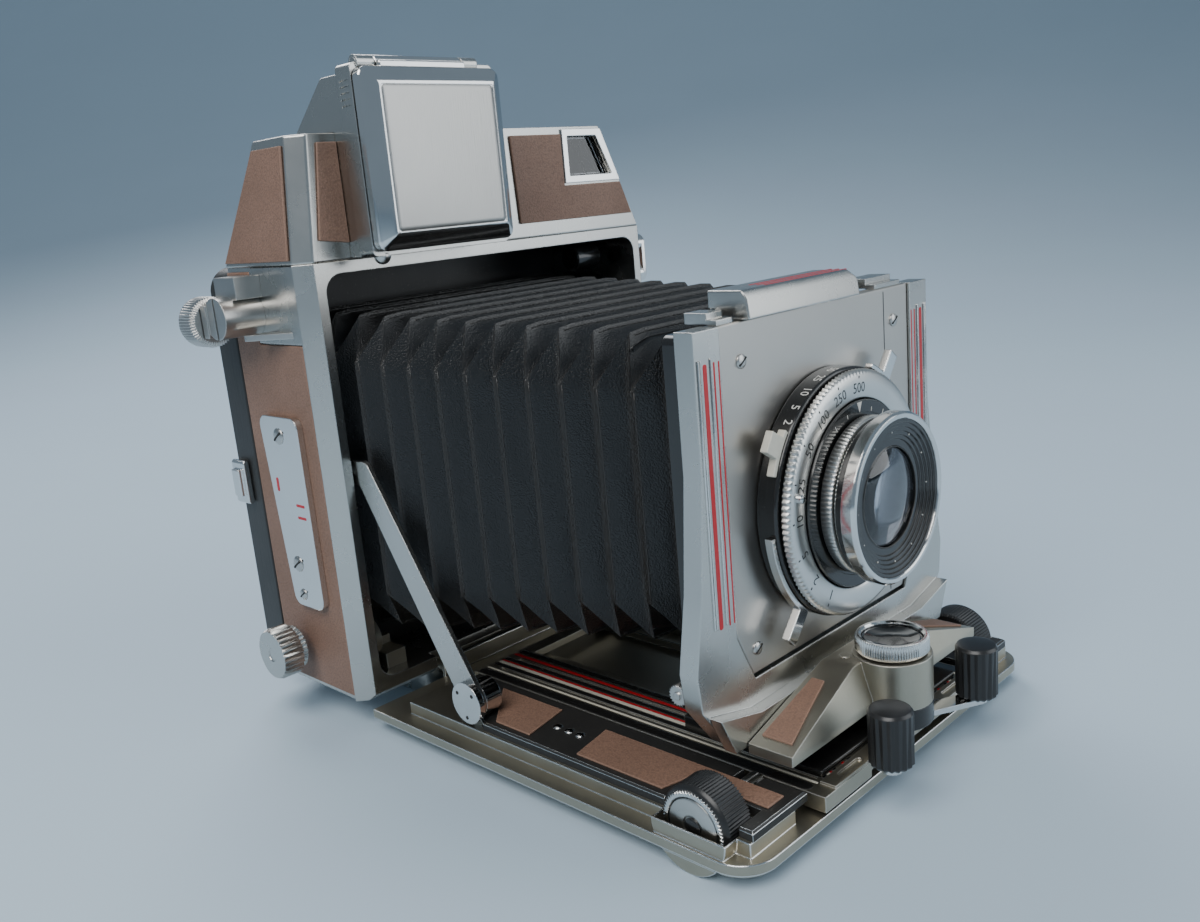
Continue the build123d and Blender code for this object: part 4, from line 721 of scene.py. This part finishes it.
def bellows_piece(name, node, settings, start, end):
    """Surface of the bellows between two distances along the lens axis. Each ring is a rectangle
    with cut corners. With s one at a side ridge and zero half a pleat away, the sides lie
    depth*(1-s) inside their full width, the top and bottom depth*s inside their full height,
    and each corner runs from a flat cut at a side ridge to a sharp peak between ridges."""
    front, back = BELLOWS_FRONT, BELLOWS_BACK
    pitch = (back - front) / settings.folds
    depth, cut = settings.depth / MM, settings.corner / MM
    offsets = np.array((0.0, 0.02, 0.04, 0.07, 0.14, 0.22, 0.3, 0.38, 0.44, 0.47, 0.49))
    half = np.concatenate([offsets, 1.0 - offsets[:0:-1]])
    phase = (np.arange(settings.folds)[:, None] + half[None]).ravel()
    phase = np.concatenate([phase, [settings.folds], np.arange(settings.folds) + 0.5])
    y = front + np.unique(phase) * pitch
    y = y[(y > start + 0.05) & (y < end - 0.05)]
    y = np.concatenate([[start], y, [end]])
    phase = (y - front) / pitch
    t = (y - front) / (back - front)
    # in front 91 wide, from 40 to 110.6 high; at the body 112 wide, from 20 to 116.4 high
    wide, low, high = (91 + 21 * t) / 2 - 0.9, 40 - 20 * t + 0.6, 110.6 + 5.8 * t - 0.6
    near = np.abs(phase - np.round(phase))
    s = 1.0 - 2.0 * near
    crest = 0.1 * np.exp(-((near / 0.03) ** 2))
    peak = 0.1 * np.exp(-(((0.5 - near) / 0.03) ** 2))
    side = wide - depth * (1.0 - s - crest)
    top = depth * (s - peak)
    rings = []
    for up in (1, -1):
        edge = high if up > 0 else low
        a = np.stack([side, edge - up * (cut + 1.5 * (1 - s))], -1)
        b_flat = np.stack([wide, edge - up * cut], -1)
        b_peak = np.stack([wide - depth - 1.8, edge], -1)
        b = b_flat + (b_peak - b_flat) * (1.0 - s)[:, None]
        c = np.stack([wide - cut, edge - up * top], -1)
        rings.append((a, b, c))
    (ta, tb, tc), (ba, bb, bc) = rings
    flip = np.array((-1.0, 1.0))
    corners = [ba, ta, tb, tc, tc * flip, tb * flip, ta * flip, ba * flip, bb * flip, bc * flip, bc, bb]
    counts = (16, 3, 3, 12, 3, 3, 16, 3, 3, 12, 3, 3)
    columns = []
    for k, count in enumerate(counts):
        first, second = corners[k], corners[(k + 1) % len(corners)]
        for step in np.arange(count) / count:
            columns.append(first + (second - first) * step)
    section = np.stack(columns, 1)
    # slow waves let the leather between two folds sag unevenly
    rng = np.random.default_rng(31)
    wave = np.zeros(section.shape[:2])
    for height, fy, fz, shift in rng.normal(0, 1, (6, 4)):
        turn = 0.16 * fy * y[:, None] + 0.11 * fz * section[..., 1] + 0.05 * section[..., 0] + shift
        wave += height * np.sin(turn)
    middle = np.stack([np.zeros_like(y), (low + high) / 2], -1)[:, None]
    out = section - middle
    out /= np.linalg.norm(out, axis=-1, keepdims=True)
    slack = np.minimum(4 * near, 4 * (0.5 - near)).clip(0, 1)
    section = section - out * ((0.22 + 0.1 * wave) * slack[:, None])[..., None]
    along = np.broadcast_to(y[:, None], section.shape[:2])
    points = np.stack([section[..., 0], along, section[..., 1]], -1).reshape(-1, 3)
    rows, columns = section.shape[:2]
    mesh = build_mesh(name, points, outward(points, [grid_quads(rows, columns, close_columns=True)]))
    # mask for painting the bellows lighter along its folds: partly rubbing wear, partly a painted highlight
    fold = mesh.attributes.new("fold", "FLOAT", "POINT")
    wear_and_highlight = np.exp(-((near / 0.05) ** 2)) + 0.7 * np.exp(-(((0.5 - near) / 0.05) ** 2))
    fold.data.foreach_set("value", np.repeat(wear_and_highlight, columns).astype(np.float32))
    piece = new_object(name, mesh)
    mesh.polygons.foreach_set("use_smooth", [True] * len(mesh.polygons))
    mesh.set_sharp_from_angle(angle=radians(40))
    mesh.materials.append(FINISHES["bellows leather"])
    thick = piece.modifiers.new("leather", "SOLIDIFY")
    thick.thickness, thick.offset = 0.9 * MM, -1.0
    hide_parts(node)
    return piece


def on_lens(profile, **teeth):
    """A turned ring on the lens axis; heights are distances in front of the tripod socket."""
    return turned(profile, (0.0, 0.0, LENS_Z), FRONT, **teeth)


def dial_place(degrees, radius, face):
    """Place for a numeral on a front dial, its top outwards, at an angle from the camera's left."""
    c, s = cos(radians(degrees)), sin(radians(degrees))
    return lambda a, b, h: np.stack(
        [s * a + c * (b + radius), face - h, LENS_Z - c * a + s * (b + radius)], 1)


def rim_place(degrees, radius, forward):
    """Place for a numeral on the shutter's rim, its top towards the front."""
    def place(a, b, h):
        turn, out = radians(degrees) + a / radius, radius + h
        return np.stack([out * np.cos(turn), -forward - b, LENS_Z + out * np.sin(turn)], 1)
    return place


def dial_bar(degrees, inner, outer, width, face):
    """A short radial line on a front dial."""
    outline = rounded_outline(width, outer - inner, width * 0.3, 2)
    return carried(outline, [(0, -0.2), (0, 0.05)], dial_place(degrees, (inner + outer) / 2, -face))


def add_dials():
    """The speed and aperture rings with their numerals and lines, and the index between them."""
    add_piece("speed_dial", [on_lens(
        [(22.3, 140.9), (28.2, 140.9), (28.9, 141.3), (28.9, 142.6), (28.3, 143.1), (27.6, DIAL_FACE),
         (22.8, DIAL_FACE), (22.3, 143.1)], teeth=130, depth=0.55, toothed=(2, 3))],
        "speed_ring", "dial silver", "speed_ring")
    marks = []
    for k, number in enumerate(("1", "2", "5", "10", "25", "50", "100", "250", "500")):
        angle = 236.0 - 18.5 * k
        marks.append(lettered(number, 3.4, dial_place(angle, 24.7, -DIAL_FACE)))
        marks.append(dial_bar(angle, 26.9, 27.6, 0.35, DIAL_FACE))
    add_piece("speed_numerals", marks, "speed_ring", "black ink", sharp=0)
    rim = [lettered(text, 3.0, rim_place(angle, 29.5, 138.6)) for text, angle in
           (("B", 152.0), ("1", 143.0), ("2", 135.0), ("5", 127.0), ("10", 117.0), ("25", 106.0),
            ("50", 95.0))]
    add_piece("rim_numerals", rim, "lens_carrier", "white ink", sharp=0)
    add_piece("aperture_dial", [on_lens(
        [(15.7, 144.2), (18.1, 144.2), (18.5, 144.5), (18.5, 146.8), (18.2, APERTURE_FACE),
         (15.9, APERTURE_FACE)], teeth=110, depth=0.35, toothed=(2, 3))],
        "aperture_ring", "dial silver", "aperture_ring")
    ticks = [dial_bar(205.0 - 17.0 * k, 15.95, 17.4, 0.28, APERTURE_FACE) for k in range(8)]
    add_piece("aperture_ticks", ticks, "aperture_ring", "black ink")
    plate = on_lens([(18.9, 143.5), (22.0, 143.5), (21.8, INDEX_FACE), (19.0, INDEX_FACE)])
    add_piece("index_plate", [plate], "lens_carrier", "black enamel")
    index = [carried([(-1.0, 1.2), (1.0, 1.2), (0.0, -1.2)], [(0, -0.2), (0, 0.06)],
                     dial_place(90.0, 20.4, -INDEX_FACE))]
    for k in range(9):
        index.append(dial_bar(150.0 - 15.0 * k, 19.3, 20.3 if k % 2 else 20.8, 0.2, INDEX_FACE))
    add_piece("index_marks", index, "lens_carrier", "white ink")
    pin = turned([(0, -0.5), (1.0, -0.5), (1.0, 1.2), (0.7, 1.5), (0, 1.6)],
                 (-25.2, -DIAL_FACE, LENS_Z + 5.2), FRONT, columns=32)
    add_piece("speed_pin", [pin], "speed_ring", "bright chrome", slot="steel")


def add_rings_and_glass():
    """The front cell with its glass, and the small parts of the lens board."""
    add_piece("knurled_ring", [diamond_ring(17.6, 147.35, 150.0, 110, 0.35),
                               on_lens([(12.0, 147.4), (17.0, 147.4), (17.0, 149.9), (12.0, 149.9)])],
              "lens_carrier", "turned steel", slot="bright_chrome")
    rim = [(17.0, 150.0), (19.4, 150.0), (19.9, 150.4), (19.9, 153.0), (19.4, 153.6), (18.5, 153.6),
           (18.2, 153.3), (18.2, 150.6)]
    add_piece("front_rim", [on_lens(rim)], "lens_carrier", "bright chrome", "front_cell")
    cone_out, cone_front, step, drop = 18.15, 153.1, 0.95, 0.42
    steps = [(cone_out, cone_front)]
    for k in range(5):
        radius = cone_out - step * (k + 1)
        steps += [(radius + 0.25, cone_front - drop * k), (radius, cone_front - drop * (k + 1))]
    steps += [(11.9, 151.0), (11.55, 151.3), (11.45, 148.0), (cone_out, 148.0)]
    add_piece("inner_cone", [on_lens(steps)], "lens_carrier", "black enamel")
    lines = [dial_bar(90.0 + k * 30.0, 15.0, 15.8, 0.22, CONE_FACE) for k in range(12)]
    add_piece("cone_marks", lines, "lens_carrier", "white ink")
    glass = domed_glass(152.2, np.linspace(1.4, 11.3, 8), 76.0, 11.35, 148.4)
    add_piece("front_glass", [glass], "lens_carrier", "coated glass", "front_element")
    glass = domed_glass(146.6, np.linspace(1.2, 9.2, 7), 44.0, 9.3, 143.0)
    add_piece("inner_glass", [glass], "lens_carrier", "coated glass")
    tube = [(9.4, 142.2), (11.4, 142.2), (11.4, 148.3), (10.9, 148.3), (9.4, 146.9)]
    add_piece("lens_tube", [on_lens(tube)], "lens_carrier", "dark lining and painted shade")
    dot = turned([(0, -0.3), (1.1, -0.3), (1.0, 0.12), (0, 0.2)], (15.0, BOARD_FACE, 36.2), FRONT,
                 columns=32)
    add_piece("board_dot", [dot], "lens_carrier", "red line")
    places = [((side * 31.5, BOARD_FACE, z), 1.6) for z in (104.0, 39.0) for side in BOTH_SIDES]
    add_screws("board_screw", places, FRONT, "lens_carrier", "turned steel")


class CAMERA_OT_lens(bpy.types.Operator):
    """Turn the dials, rings, cells and glass of the lens and shutter"""

    bl_idname = "camera.lens"
    bl_label = "Lens and shutter"

    def execute(self, context):
        add_dials()
        add_rings_and_glass()
        return {"FINISHED"}


def domed_glass(front, radii, curve, rim, back):
    """A glass on the lens axis with a flat back. Its front drops by radius squared over curve."""
    dome = [(float(radius), front - float(radius) ** 2 / curve) for radius in radii]
    return on_lens([(0.0, front), *dome, (rim, back), (0.0, back)])


def diamond_ring(radius, low, high, teeth, depth):
    """A ring with crossed grooves: radius minus depth times the larger of two waves that run
    round it in opposite slants."""
    columns, rows = teeth * 4, 9
    angle = np.arange(columns)[None, :] * tau / columns
    height = np.linspace(low, high, rows)[:, None]
    slant = (height - low) / (tau * radius / teeth)
    left = np.abs(((angle * teeth / tau + slant) % 1.0) - 0.5) * 2
    right = np.abs(((angle * teeth / tau - slant) % 1.0) - 0.5) * 2
    cut = np.maximum(left, right) ** 2 * depth
    r = radius - cut
    x, z = np.cos(angle), np.sin(angle)
    outer = np.stack([r * x, np.broadcast_to(-height, r.shape), LENS_Z + r * z], -1)
    inside = radius - 1.4
    caps = []
    for h in (high, low):
        caps.append(np.stack([inside * x[0], np.full(columns, -h), LENS_Z + inside * z[0]], -1))
    points = np.concatenate([outer, np.stack(caps)]).reshape(-1, 3)
    return points, outward(points, [grid_quads(rows + 2, columns, close_rows=True, close_columns=True)])


def add_screws(name, screws, direction, body, finish, node=None, turn=0.6):
    """Domed heads, and their slots as a second piece, of screws given by (centre, radius). Each slot is a
    dark strip across its head: painted shade where the recess would be.
    """
    heads, slots = [], []
    a, b, d = axes_of(direction)
    along = a * cos(turn) + b * sin(turn)
    across = np.cross(d, along)
    for centre, r in screws:
        heads.append(turned([(0, -0.4), (r, -0.4), (r, 0.25), (r * 0.85, 0.5), (r * 0.5, 0.66), (0, 0.72)],
                            centre, direction, columns=40))

        def place(u, v, h, centre=np.array(centre, float)):
            return centre + u[:, None] * along + v[:, None] * across + h[:, None] * d
        # the slot is a dark strip standing just out of the dome: painted shade, not a cut
        slots.append(carried(rounded_outline(r * 1.8, r * 0.26, r * 0.05, 2), [(0, 0.0), (0, 0.735)], place))
    many = "s" if len(screws) > 1 else ""
    add_piece(name + many, heads, body, finish, node)
    add_piece(name + "_slot" + many, slots, body, "dark lining and painted shade")


def add_standard_details():
    """The standard's lines and ribs, its lock and grips, and the wheel of the rising front."""
    lines, ribs = [], []
    for side in BOTH_SIDES:
        for x, width in ((44.3, 1.3), (41.3, 0.5), (39.7, 0.45)):
            lines.append(thin_strip(width, 57.5, facing_front(side * x, 76.75, ARM_FACE)))
        for x in (42.5, 45.9, 46.6):
            ribs.append(carried(rounded_outline(0.45, 58.0, 0.2, 3), [(0, -0.2), (0, 0.25), (0.12, 0.35)],
                                facing_front(side * x, 77.5, ARM_FACE)))
    add_piece("arm_lines", lines, "carriage", "red line")
    lines = [thin_strip(32.5, 0.6, facing_up(-4.75, y, LATCH_TOP)) for y in (-134.4, -132.4, -130.4)]
    add_piece("latch_lines", lines, "board_latch", "red line")
    add_piece("arm_ribs", ribs, "carriage", "bright chrome")
    seam = thin_strip(0.35, 77.5, facing_front(27.175, 72.75, BOARD_FACE))
    add_piece("board_seam", [seam], "lens_carrier", "black ink")
    collar = turned([(7.1, 31.0), (8.2, 30.9), (8.6, 31.3), (8.6, 34.4), (8.2, 34.9), (7.6, 34.9),
                     (7.1, 34.4)], LOCK_POST, UP, teeth=84, depth=0.5, toothed=(2, 3))
    add_piece("lock_collar", [collar], "lock_ring", "bright chrome", "lock_ring")
    dish = turned([(0, 31.7), (6.95, 31.7), (7.0, 33.8), (6.4, 34.0), (4.6, 33.3), (2.6, 33.0), (0, 32.9)],
                  LOCK_POST, UP, columns=72)
    add_piece("lock_dish", [dish], "lock_ring", "gloss black", "lock_cap")
    grip = [(0, 13.75), (4.3, 13.75), (5.0, 14.4), (5.0, 26.4), (4.5, 27.1), (3.4, 27.3), (0, 27.35)]
    for side, name in zip(BOTH_SIDES, ("left_grip", "right_grip")):
        shape = turned(grip, (side * 20.5, -161.5, 0.0), UP, teeth=18, depth=0.6, toothed=(1, 2))
        add_piece(name + "_shown", [shape], name, "black plastic", name)
    add_screws("block_screw", [((-7.5, -142.4, 29.3), 1.9)], UP, "carriage", "brass", turn=0.4)
    gear = [turned([(0, 0.1), (2.55, 0.1), (2.55, 1.7), (0, 1.7)], RISE_WHEEL, RIGHT,
                   teeth=20, depth=0.5, toothed=(0, 1), sharpness=0.9)]
    for radius, start, end in ((0.9, -0.3, 0.4), (1.2, 1.5, 12.9)):
        gear.append(turned([(0, start), (radius, start), (radius, end), (0, end)], RISE_WHEEL, RIGHT))
    add_piece("rise_wheel", gear, "rise_gear", "turned steel", "rise_pinion", "brass")
    roller = turned([(0, 2.6), (1.8, 2.6), (2.1, 3.0), (2.1, 6.4), (1.8, 6.8), (0, 6.8)], RISE_WHEEL, RIGHT)
    add_piece("rise_roller", [roller], "rise_gear", "gloss black")


class CAMERA_OT_standard(bpy.types.Operator):
    """Draw the coloured lines and ribs of the standard, its latch, lock and finger grips"""

    bl_idname = "camera.standard"
    bl_label = "Standard and lock"

    def execute(self, context):
        add_standard_details()
        return {"FINISHED"}


def add_bed_details():
    """The track's strips, the focusing knobs, and the bed's studs, with small dark discs of painted shade
    for the pivot holes.
    """
    strips = {"black enamel": ((35.6, 3.0), (30.2, 1.5), (26.1, 1.5), (20.3, 2.2)),
              "cream tab": ((33.2, 0.7), (28.5, 1.2)), "red line": ((27.6, 0.9), (22.6, 1.0))}
    for finish, rows in strips.items():
        shapes = [thin_strip(width, 111.7, facing_up(side * x, -94.85, TRACK_TOP))
                  for side in BOTH_SIDES for x, width in rows]
        add_piece("track_" + finish.split()[0], shapes, "focus_track", finish)
    rims = on_both_sides([(0, 0), (8.5, 0), (9.05, 0.5), (9.05, 7.8), (8.6, 8.5), (8.0, 8.8), (0, 8.8)],
                         FOCUS_KNOB, teeth=72, depth=0.55, toothed=(1, 2))
    add_piece("focus_rims", rims, "focus_knobs", "black plastic", "focus_knobs")
    faces = on_both_sides([(6.7, 8.6), (8.1, 8.6), (8.1, 9.2), (7.9, 9.35), (6.9, 9.35), (6.7, 9.2)],
                          FOCUS_KNOB, teeth=60, depth=0.5, toothed=(1, 2, 3))
    add_piece("focus_faces", faces, "focus_knobs", "bright chrome", "focus_knob_caps")
    discs = on_both_sides([(0, 8.7), (6.4, 8.7), (6.4, 9.1), (6.1, 9.3), (2.6, 9.3), (2.4, 9.05), (0, 9.05)],
                          FOCUS_KNOB)
    add_piece("focus_discs", discs, "focus_knobs", "satin chrome", slot="bright_chrome")
    hubs = on_both_sides([(0, 8.8), (2.1, 8.8), (2.1, 9.35), (1.8, 9.55), (0, 9.58)], FOCUS_KNOB,
                         columns=48)
    add_piece("focus_hubs", hubs, "focus_knobs", "black enamel")
    holes, studs = [], []
    # pivot holes as small dark discs on the surface: painted shade, not holes cut in
    for y, z in ((3.2, 2.2), (-2.6, 2.6), (0.2, -4.0)):
        holes += on_both_sides([(0, -0.3), (0.5, -0.3), (0.5, 0.06), (0, 0.06)],
                               (PIVOT_X, PIVOT_Y + y, PIVOT_Z + z), columns=20)
    for y in (-84.6, -88.6, -92.4):
        studs += [turned([(0, -0.4), (1.35, -0.4), (1.2, 0.15), (0.7, 0.4), (0, 0.5)],
                         (side * 48.8, y, COVER_TOP), UP, columns=28) for side in BOTH_SIDES]
    add_piece("pivot_holes", holes, "camera_body", "dark lining and painted shade")
    add_piece("cover_studs", studs, "camera_body", "bright chrome")


class CAMERA_OT_bed(bpy.types.Operator):
    """Lay the coloured strips of the track, the knobs that move it and the small parts of the bed"""

    bl_idname = "camera.bed"
    bl_label = "Bed and track"

    def execute(self, context):
        add_bed_details()
        return {"FINISHED"}


def on_both_sides(profile, centre, **teeth):
    """A turned shape and its twin at minus x; their heights run outwards."""
    x, y, z = centre
    return [turned(profile, (side * x, y, z), (side, 0, 0), **teeth) for side in BOTH_SIDES]


def add_body_details():
    """The finder cover, side knobs, screws, side marks, hood panel and roller."""
    levels = [(0.0, 0.0), (0.0, 2.2), (0.3, 2.6), (0.8, 2.85), (3.4, 4.9), (3.9, 5.15), (4.5, 5.2),
              (4.6, 5.05), (5.0, 5.05)]
    lid = pillow(45.4, 45.0, 2.6, levels, facing_front(LID_X, LID_Z, LID_BACK))
    knuckle = turned([(0, -13.8), (1.6, -13.8), (1.8, -13.6), (1.8, 13.6), (1.6, 13.8), (0, 13.8)],
                     (-30.25, -34.9, 177.6), RIGHT, columns=40)
    tab = carried(rounded_outline(27.5, 3.0, 0.6, 3), [(0, -1.6), (0, 1.7), (0.3, 2.0)],
                  facing_front(-30.25, 176.4, LID_BACK))
    add_piece("finder_lid", [lid, knuckle, tab], "finder_cover", "bright chrome", "finder_cover",
              "satin_chrome", sharp=25)
    plate = pillow(36.2, 35.8, 1.2, [(0, -0.3), (0, 0.05), (0.25, 0.2), (1.2, 0.28)],
                   facing_front(LID_X, LID_Z, LID_BACK - 5.0))
    add_piece("finder_lid_face", [plate], "finder_cover", "brushed centre")
    upper = turned([(0, 0), (5.9, 0), (6.9, 0.8), (6.9, 6.6), (6.2, 7.4), (3.9, 7.5), (3.6, 7.2), (0, 7.2)],
                   (-74.4, 9.5, 116.2), (0, 1, 0), teeth=54, depth=0.6, toothed=(1, 2))
    add_piece("upper_knob_shown", [upper], "upper_knob", "turned steel", "upper_knob")
    lower = turned([(0, 0.1), (6.2, 0.1), (6.2, 1.6), (7.4, 2.1), (7.4, 7.2), (6.9, 8.2), (2.0, 8.3),
                    (1.8, 8.0), (0, 8.0)], (-69.0, 2.8, 21.4), LEFT,
                   teeth=28, depth=0.9, toothed=(2, 3, 4), sharpness=0.9)
    add_piece("lower_knob_shown", [lower], "lower_knob", "satin chrome", "lower_knob", "steel")
    places = [((-67.9, -3.6, 84.1), 2.3), ((-67.9, -3.6, 47.2), 2.3), ((-67.9, -4.0, 38.2), 1.6)]
    add_screws("side_screw", places, LEFT, "camera_body", "turned steel", "body_screws")
    marks = [thin_strip(width, height, facing_left(-68.0, y, z)) for width, height, y, z in
             ((4.2, 0.8, -9.5, 61.4), (4.2, 0.8, -9.5, 64.9), (1.2, 4.0, 0.8, 70.0))]
    add_piece("side_marks", marks, "camera_body", "red line")
    panel = pillow(92.0, 72.0, 3.0, [(0, -0.3), (0, 0.3), (0.5, 0.7), (2.5, 0.7), (3.0, 0.4), (4.0, 0.4)],
                   lambda a, b, h: np.stack([-a, 30.0 + h, 68.7 + b], 1))
    add_piece("hood_panel", [panel], "hood_door", "black crackle")
    roller = turned([(0, 0), (3.6, 0), (4.1, 0.5), (4.1, 10.5), (3.6, 11.0), (0, 11.0)],
                    (43.0, -10.0, 121.1), RIGHT, columns=64)
    add_piece("roller_shown", [roller], "camera_body", "black enamel", "coupling_roller", "steel")


class CAMERA_OT_body(bpy.types.Operator):
    """Make the finder cover, the side knobs and the small marks of the body"""

    bl_idname = "camera.body"
    bl_label = "Body details"

    def execute(self, context):
        add_body_details()
        return {"FINISHED"}


def add_stage(context):
    """Floor, lights, sky and view."""
    settings = context.scene.camera_stage
    tree, bsdf = start_finish("floor", Roughness=0.75)
    colour = tuple(settings.floor)
    patches = noise(object_place(tree), 6.0)
    link(mix_colour(patches, darker(colour, 0.95), colour), bsdf.inputs["Base Color"])
    mesh = backdrop()
    mesh.materials.append(FINISHES["floor"])
    new_object("floor", mesh)
    for name, place, size, power, colour in (
            ("key", (-0.75, -0.35, 0.95), 0.8, settings.key_power, (1.0, 0.99, 0.97)),
            ("fill", (0.55, -0.95, 0.45), 0.9, settings.key_power * 0.45, (0.93, 0.97, 1.0)),
            ("rim", (0.3, 0.75, 0.9), 0.7, settings.key_power * 0.6, (0.97, 0.98, 1.0))):
        lamp = bpy.data.lights.new(name, "AREA")
        lamp.energy, lamp.size, lamp.color = power, size, colour
        holder = new_object(name, lamp)
        holder.location = place
        target = Vector((0.0, -0.06, 0.08)) - Vector(place)
        holder.rotation_euler = target.to_track_quat("-Z", "Y").to_euler()
    world = bpy.data.worlds.new("studio")
    world.use_nodes = True
    background = world.node_tree.nodes["Background"]
    background.inputs["Color"].default_value = (0.56, 0.72, 0.88, 1.0)
    background.inputs["Strength"].default_value = settings.sky
    context.scene.world = world
    context.scene.camera = stage_camera()


class CAMERA_OT_stage(bpy.types.Operator):
    """Set the floor, the soft lights and the view"""

    bl_idname = "camera.stage"
    bl_label = "Stage"

    def execute(self, context):
        add_stage(context)
        return {"FINISHED"}


def backdrop():
    """A floor that is flat in front and curves up behind, turned to lie square to the view."""
    reach, behind, height, turn, rows = 2500.0, 500.0, 2600.0, 0.78, 60
    along = np.linspace(0.0, 1.0, rows)
    rise = np.clip((along - 0.5) / 0.5, 0.0, 1.0) * pi / 2
    flat, bent = -reach + (reach + behind) * along / 0.5, behind + height * np.sin(rise)
    y = np.where(along < 0.5, flat, bent)[:, None]
    z = height * (1 - np.cos(rise))[:, None]
    across = np.linspace(-reach, reach, 3)[None]
    points = np.stack(np.broadcast_arrays(across, y, z), -1).reshape(-1, 3)
    points[:, :2] = points[:, :2] @ np.array(((cos(turn), -sin(turn)), (sin(turn), cos(turn))))
    return build_mesh("floor", points, [grid_quads(rows, 3)[:, ::-1]])
def stage_camera():
    """The camera, low at the front left, turned a little about its own axis."""
    data = bpy.data.cameras.new("view")
    data.lens, data.sensor_width, data.clip_start = 33.13, 36.0, 0.01
    camera = new_object("view", data)
    azimuth, elevation, roll = radians(-44.92), radians(13.46), radians(-5.12)
    back = Vector((sin(azimuth) * cos(elevation), -cos(azimuth) * cos(elevation), sin(elevation)))
    right = Vector((cos(azimuth), sin(azimuth), 0.0))
    up = back.cross(right)
    right, up = right * cos(roll) + up * sin(roll), up * cos(roll) - right * sin(roll)
    matrix = Matrix((right, up, back)).transposed().to_4x4()
    matrix.translation = (-0.21654, -0.27601, 0.1404)
    camera.matrix_world = matrix
    return camera


# ---- add-on ----


class CAMERA_PT_pieces(bpy.types.Panel):
    """Settings and build steps of the camera"""

    bl_label = "Field camera"
    bl_idname = "CAMERA_PT_pieces"
    bl_space_type = "VIEW_3D"
    bl_region_type = "UI"
    bl_category = "Camera"

    def draw(self, context):
        for name in SETTINGS:
            settings = getattr(context.scene, name)
            box = self.layout.box()
            for label in settings.__annotations__:
                box.prop(settings, label)
        for operator in OPERATORS:
            self.layout.operator(operator.bl_idname)


SETTINGS = {"camera_palette": CameraPalette, "camera_bellows": BellowsSettings,
            "camera_stage": StageSettings}
OPERATORS = (CAMERA_OT_castings, CAMERA_OT_bellows, CAMERA_OT_lens, CAMERA_OT_standard, CAMERA_OT_bed,
             CAMERA_OT_body, CAMERA_OT_stage)


def register():
    for name, group in SETTINGS.items():
        bpy.utils.register_class(group)
        setattr(bpy.types.Scene, name, bpy.props.PointerProperty(type=group))
    for item in (*OPERATORS, CAMERA_PT_pieces):
        bpy.utils.register_class(item)


def unregister():
    for item in (CAMERA_PT_pieces, *reversed(OPERATORS)):
        bpy.utils.unregister_class(item)
    for name, group in SETTINGS.items():
        delattr(bpy.types.Scene, name)
        bpy.utils.unregister_class(group)


def main():
    register()
    make_groups()
    make_finishes(bpy.context.scene.camera_palette)
    bpy.ops.camera.castings()
    bpy.ops.camera.bellows()
    bpy.ops.camera.lens()
    bpy.ops.camera.standard()
    bpy.ops.camera.bed()
    bpy.ops.camera.body()
    bpy.ops.camera.stage()


if __name__ == "__main__":
    main()
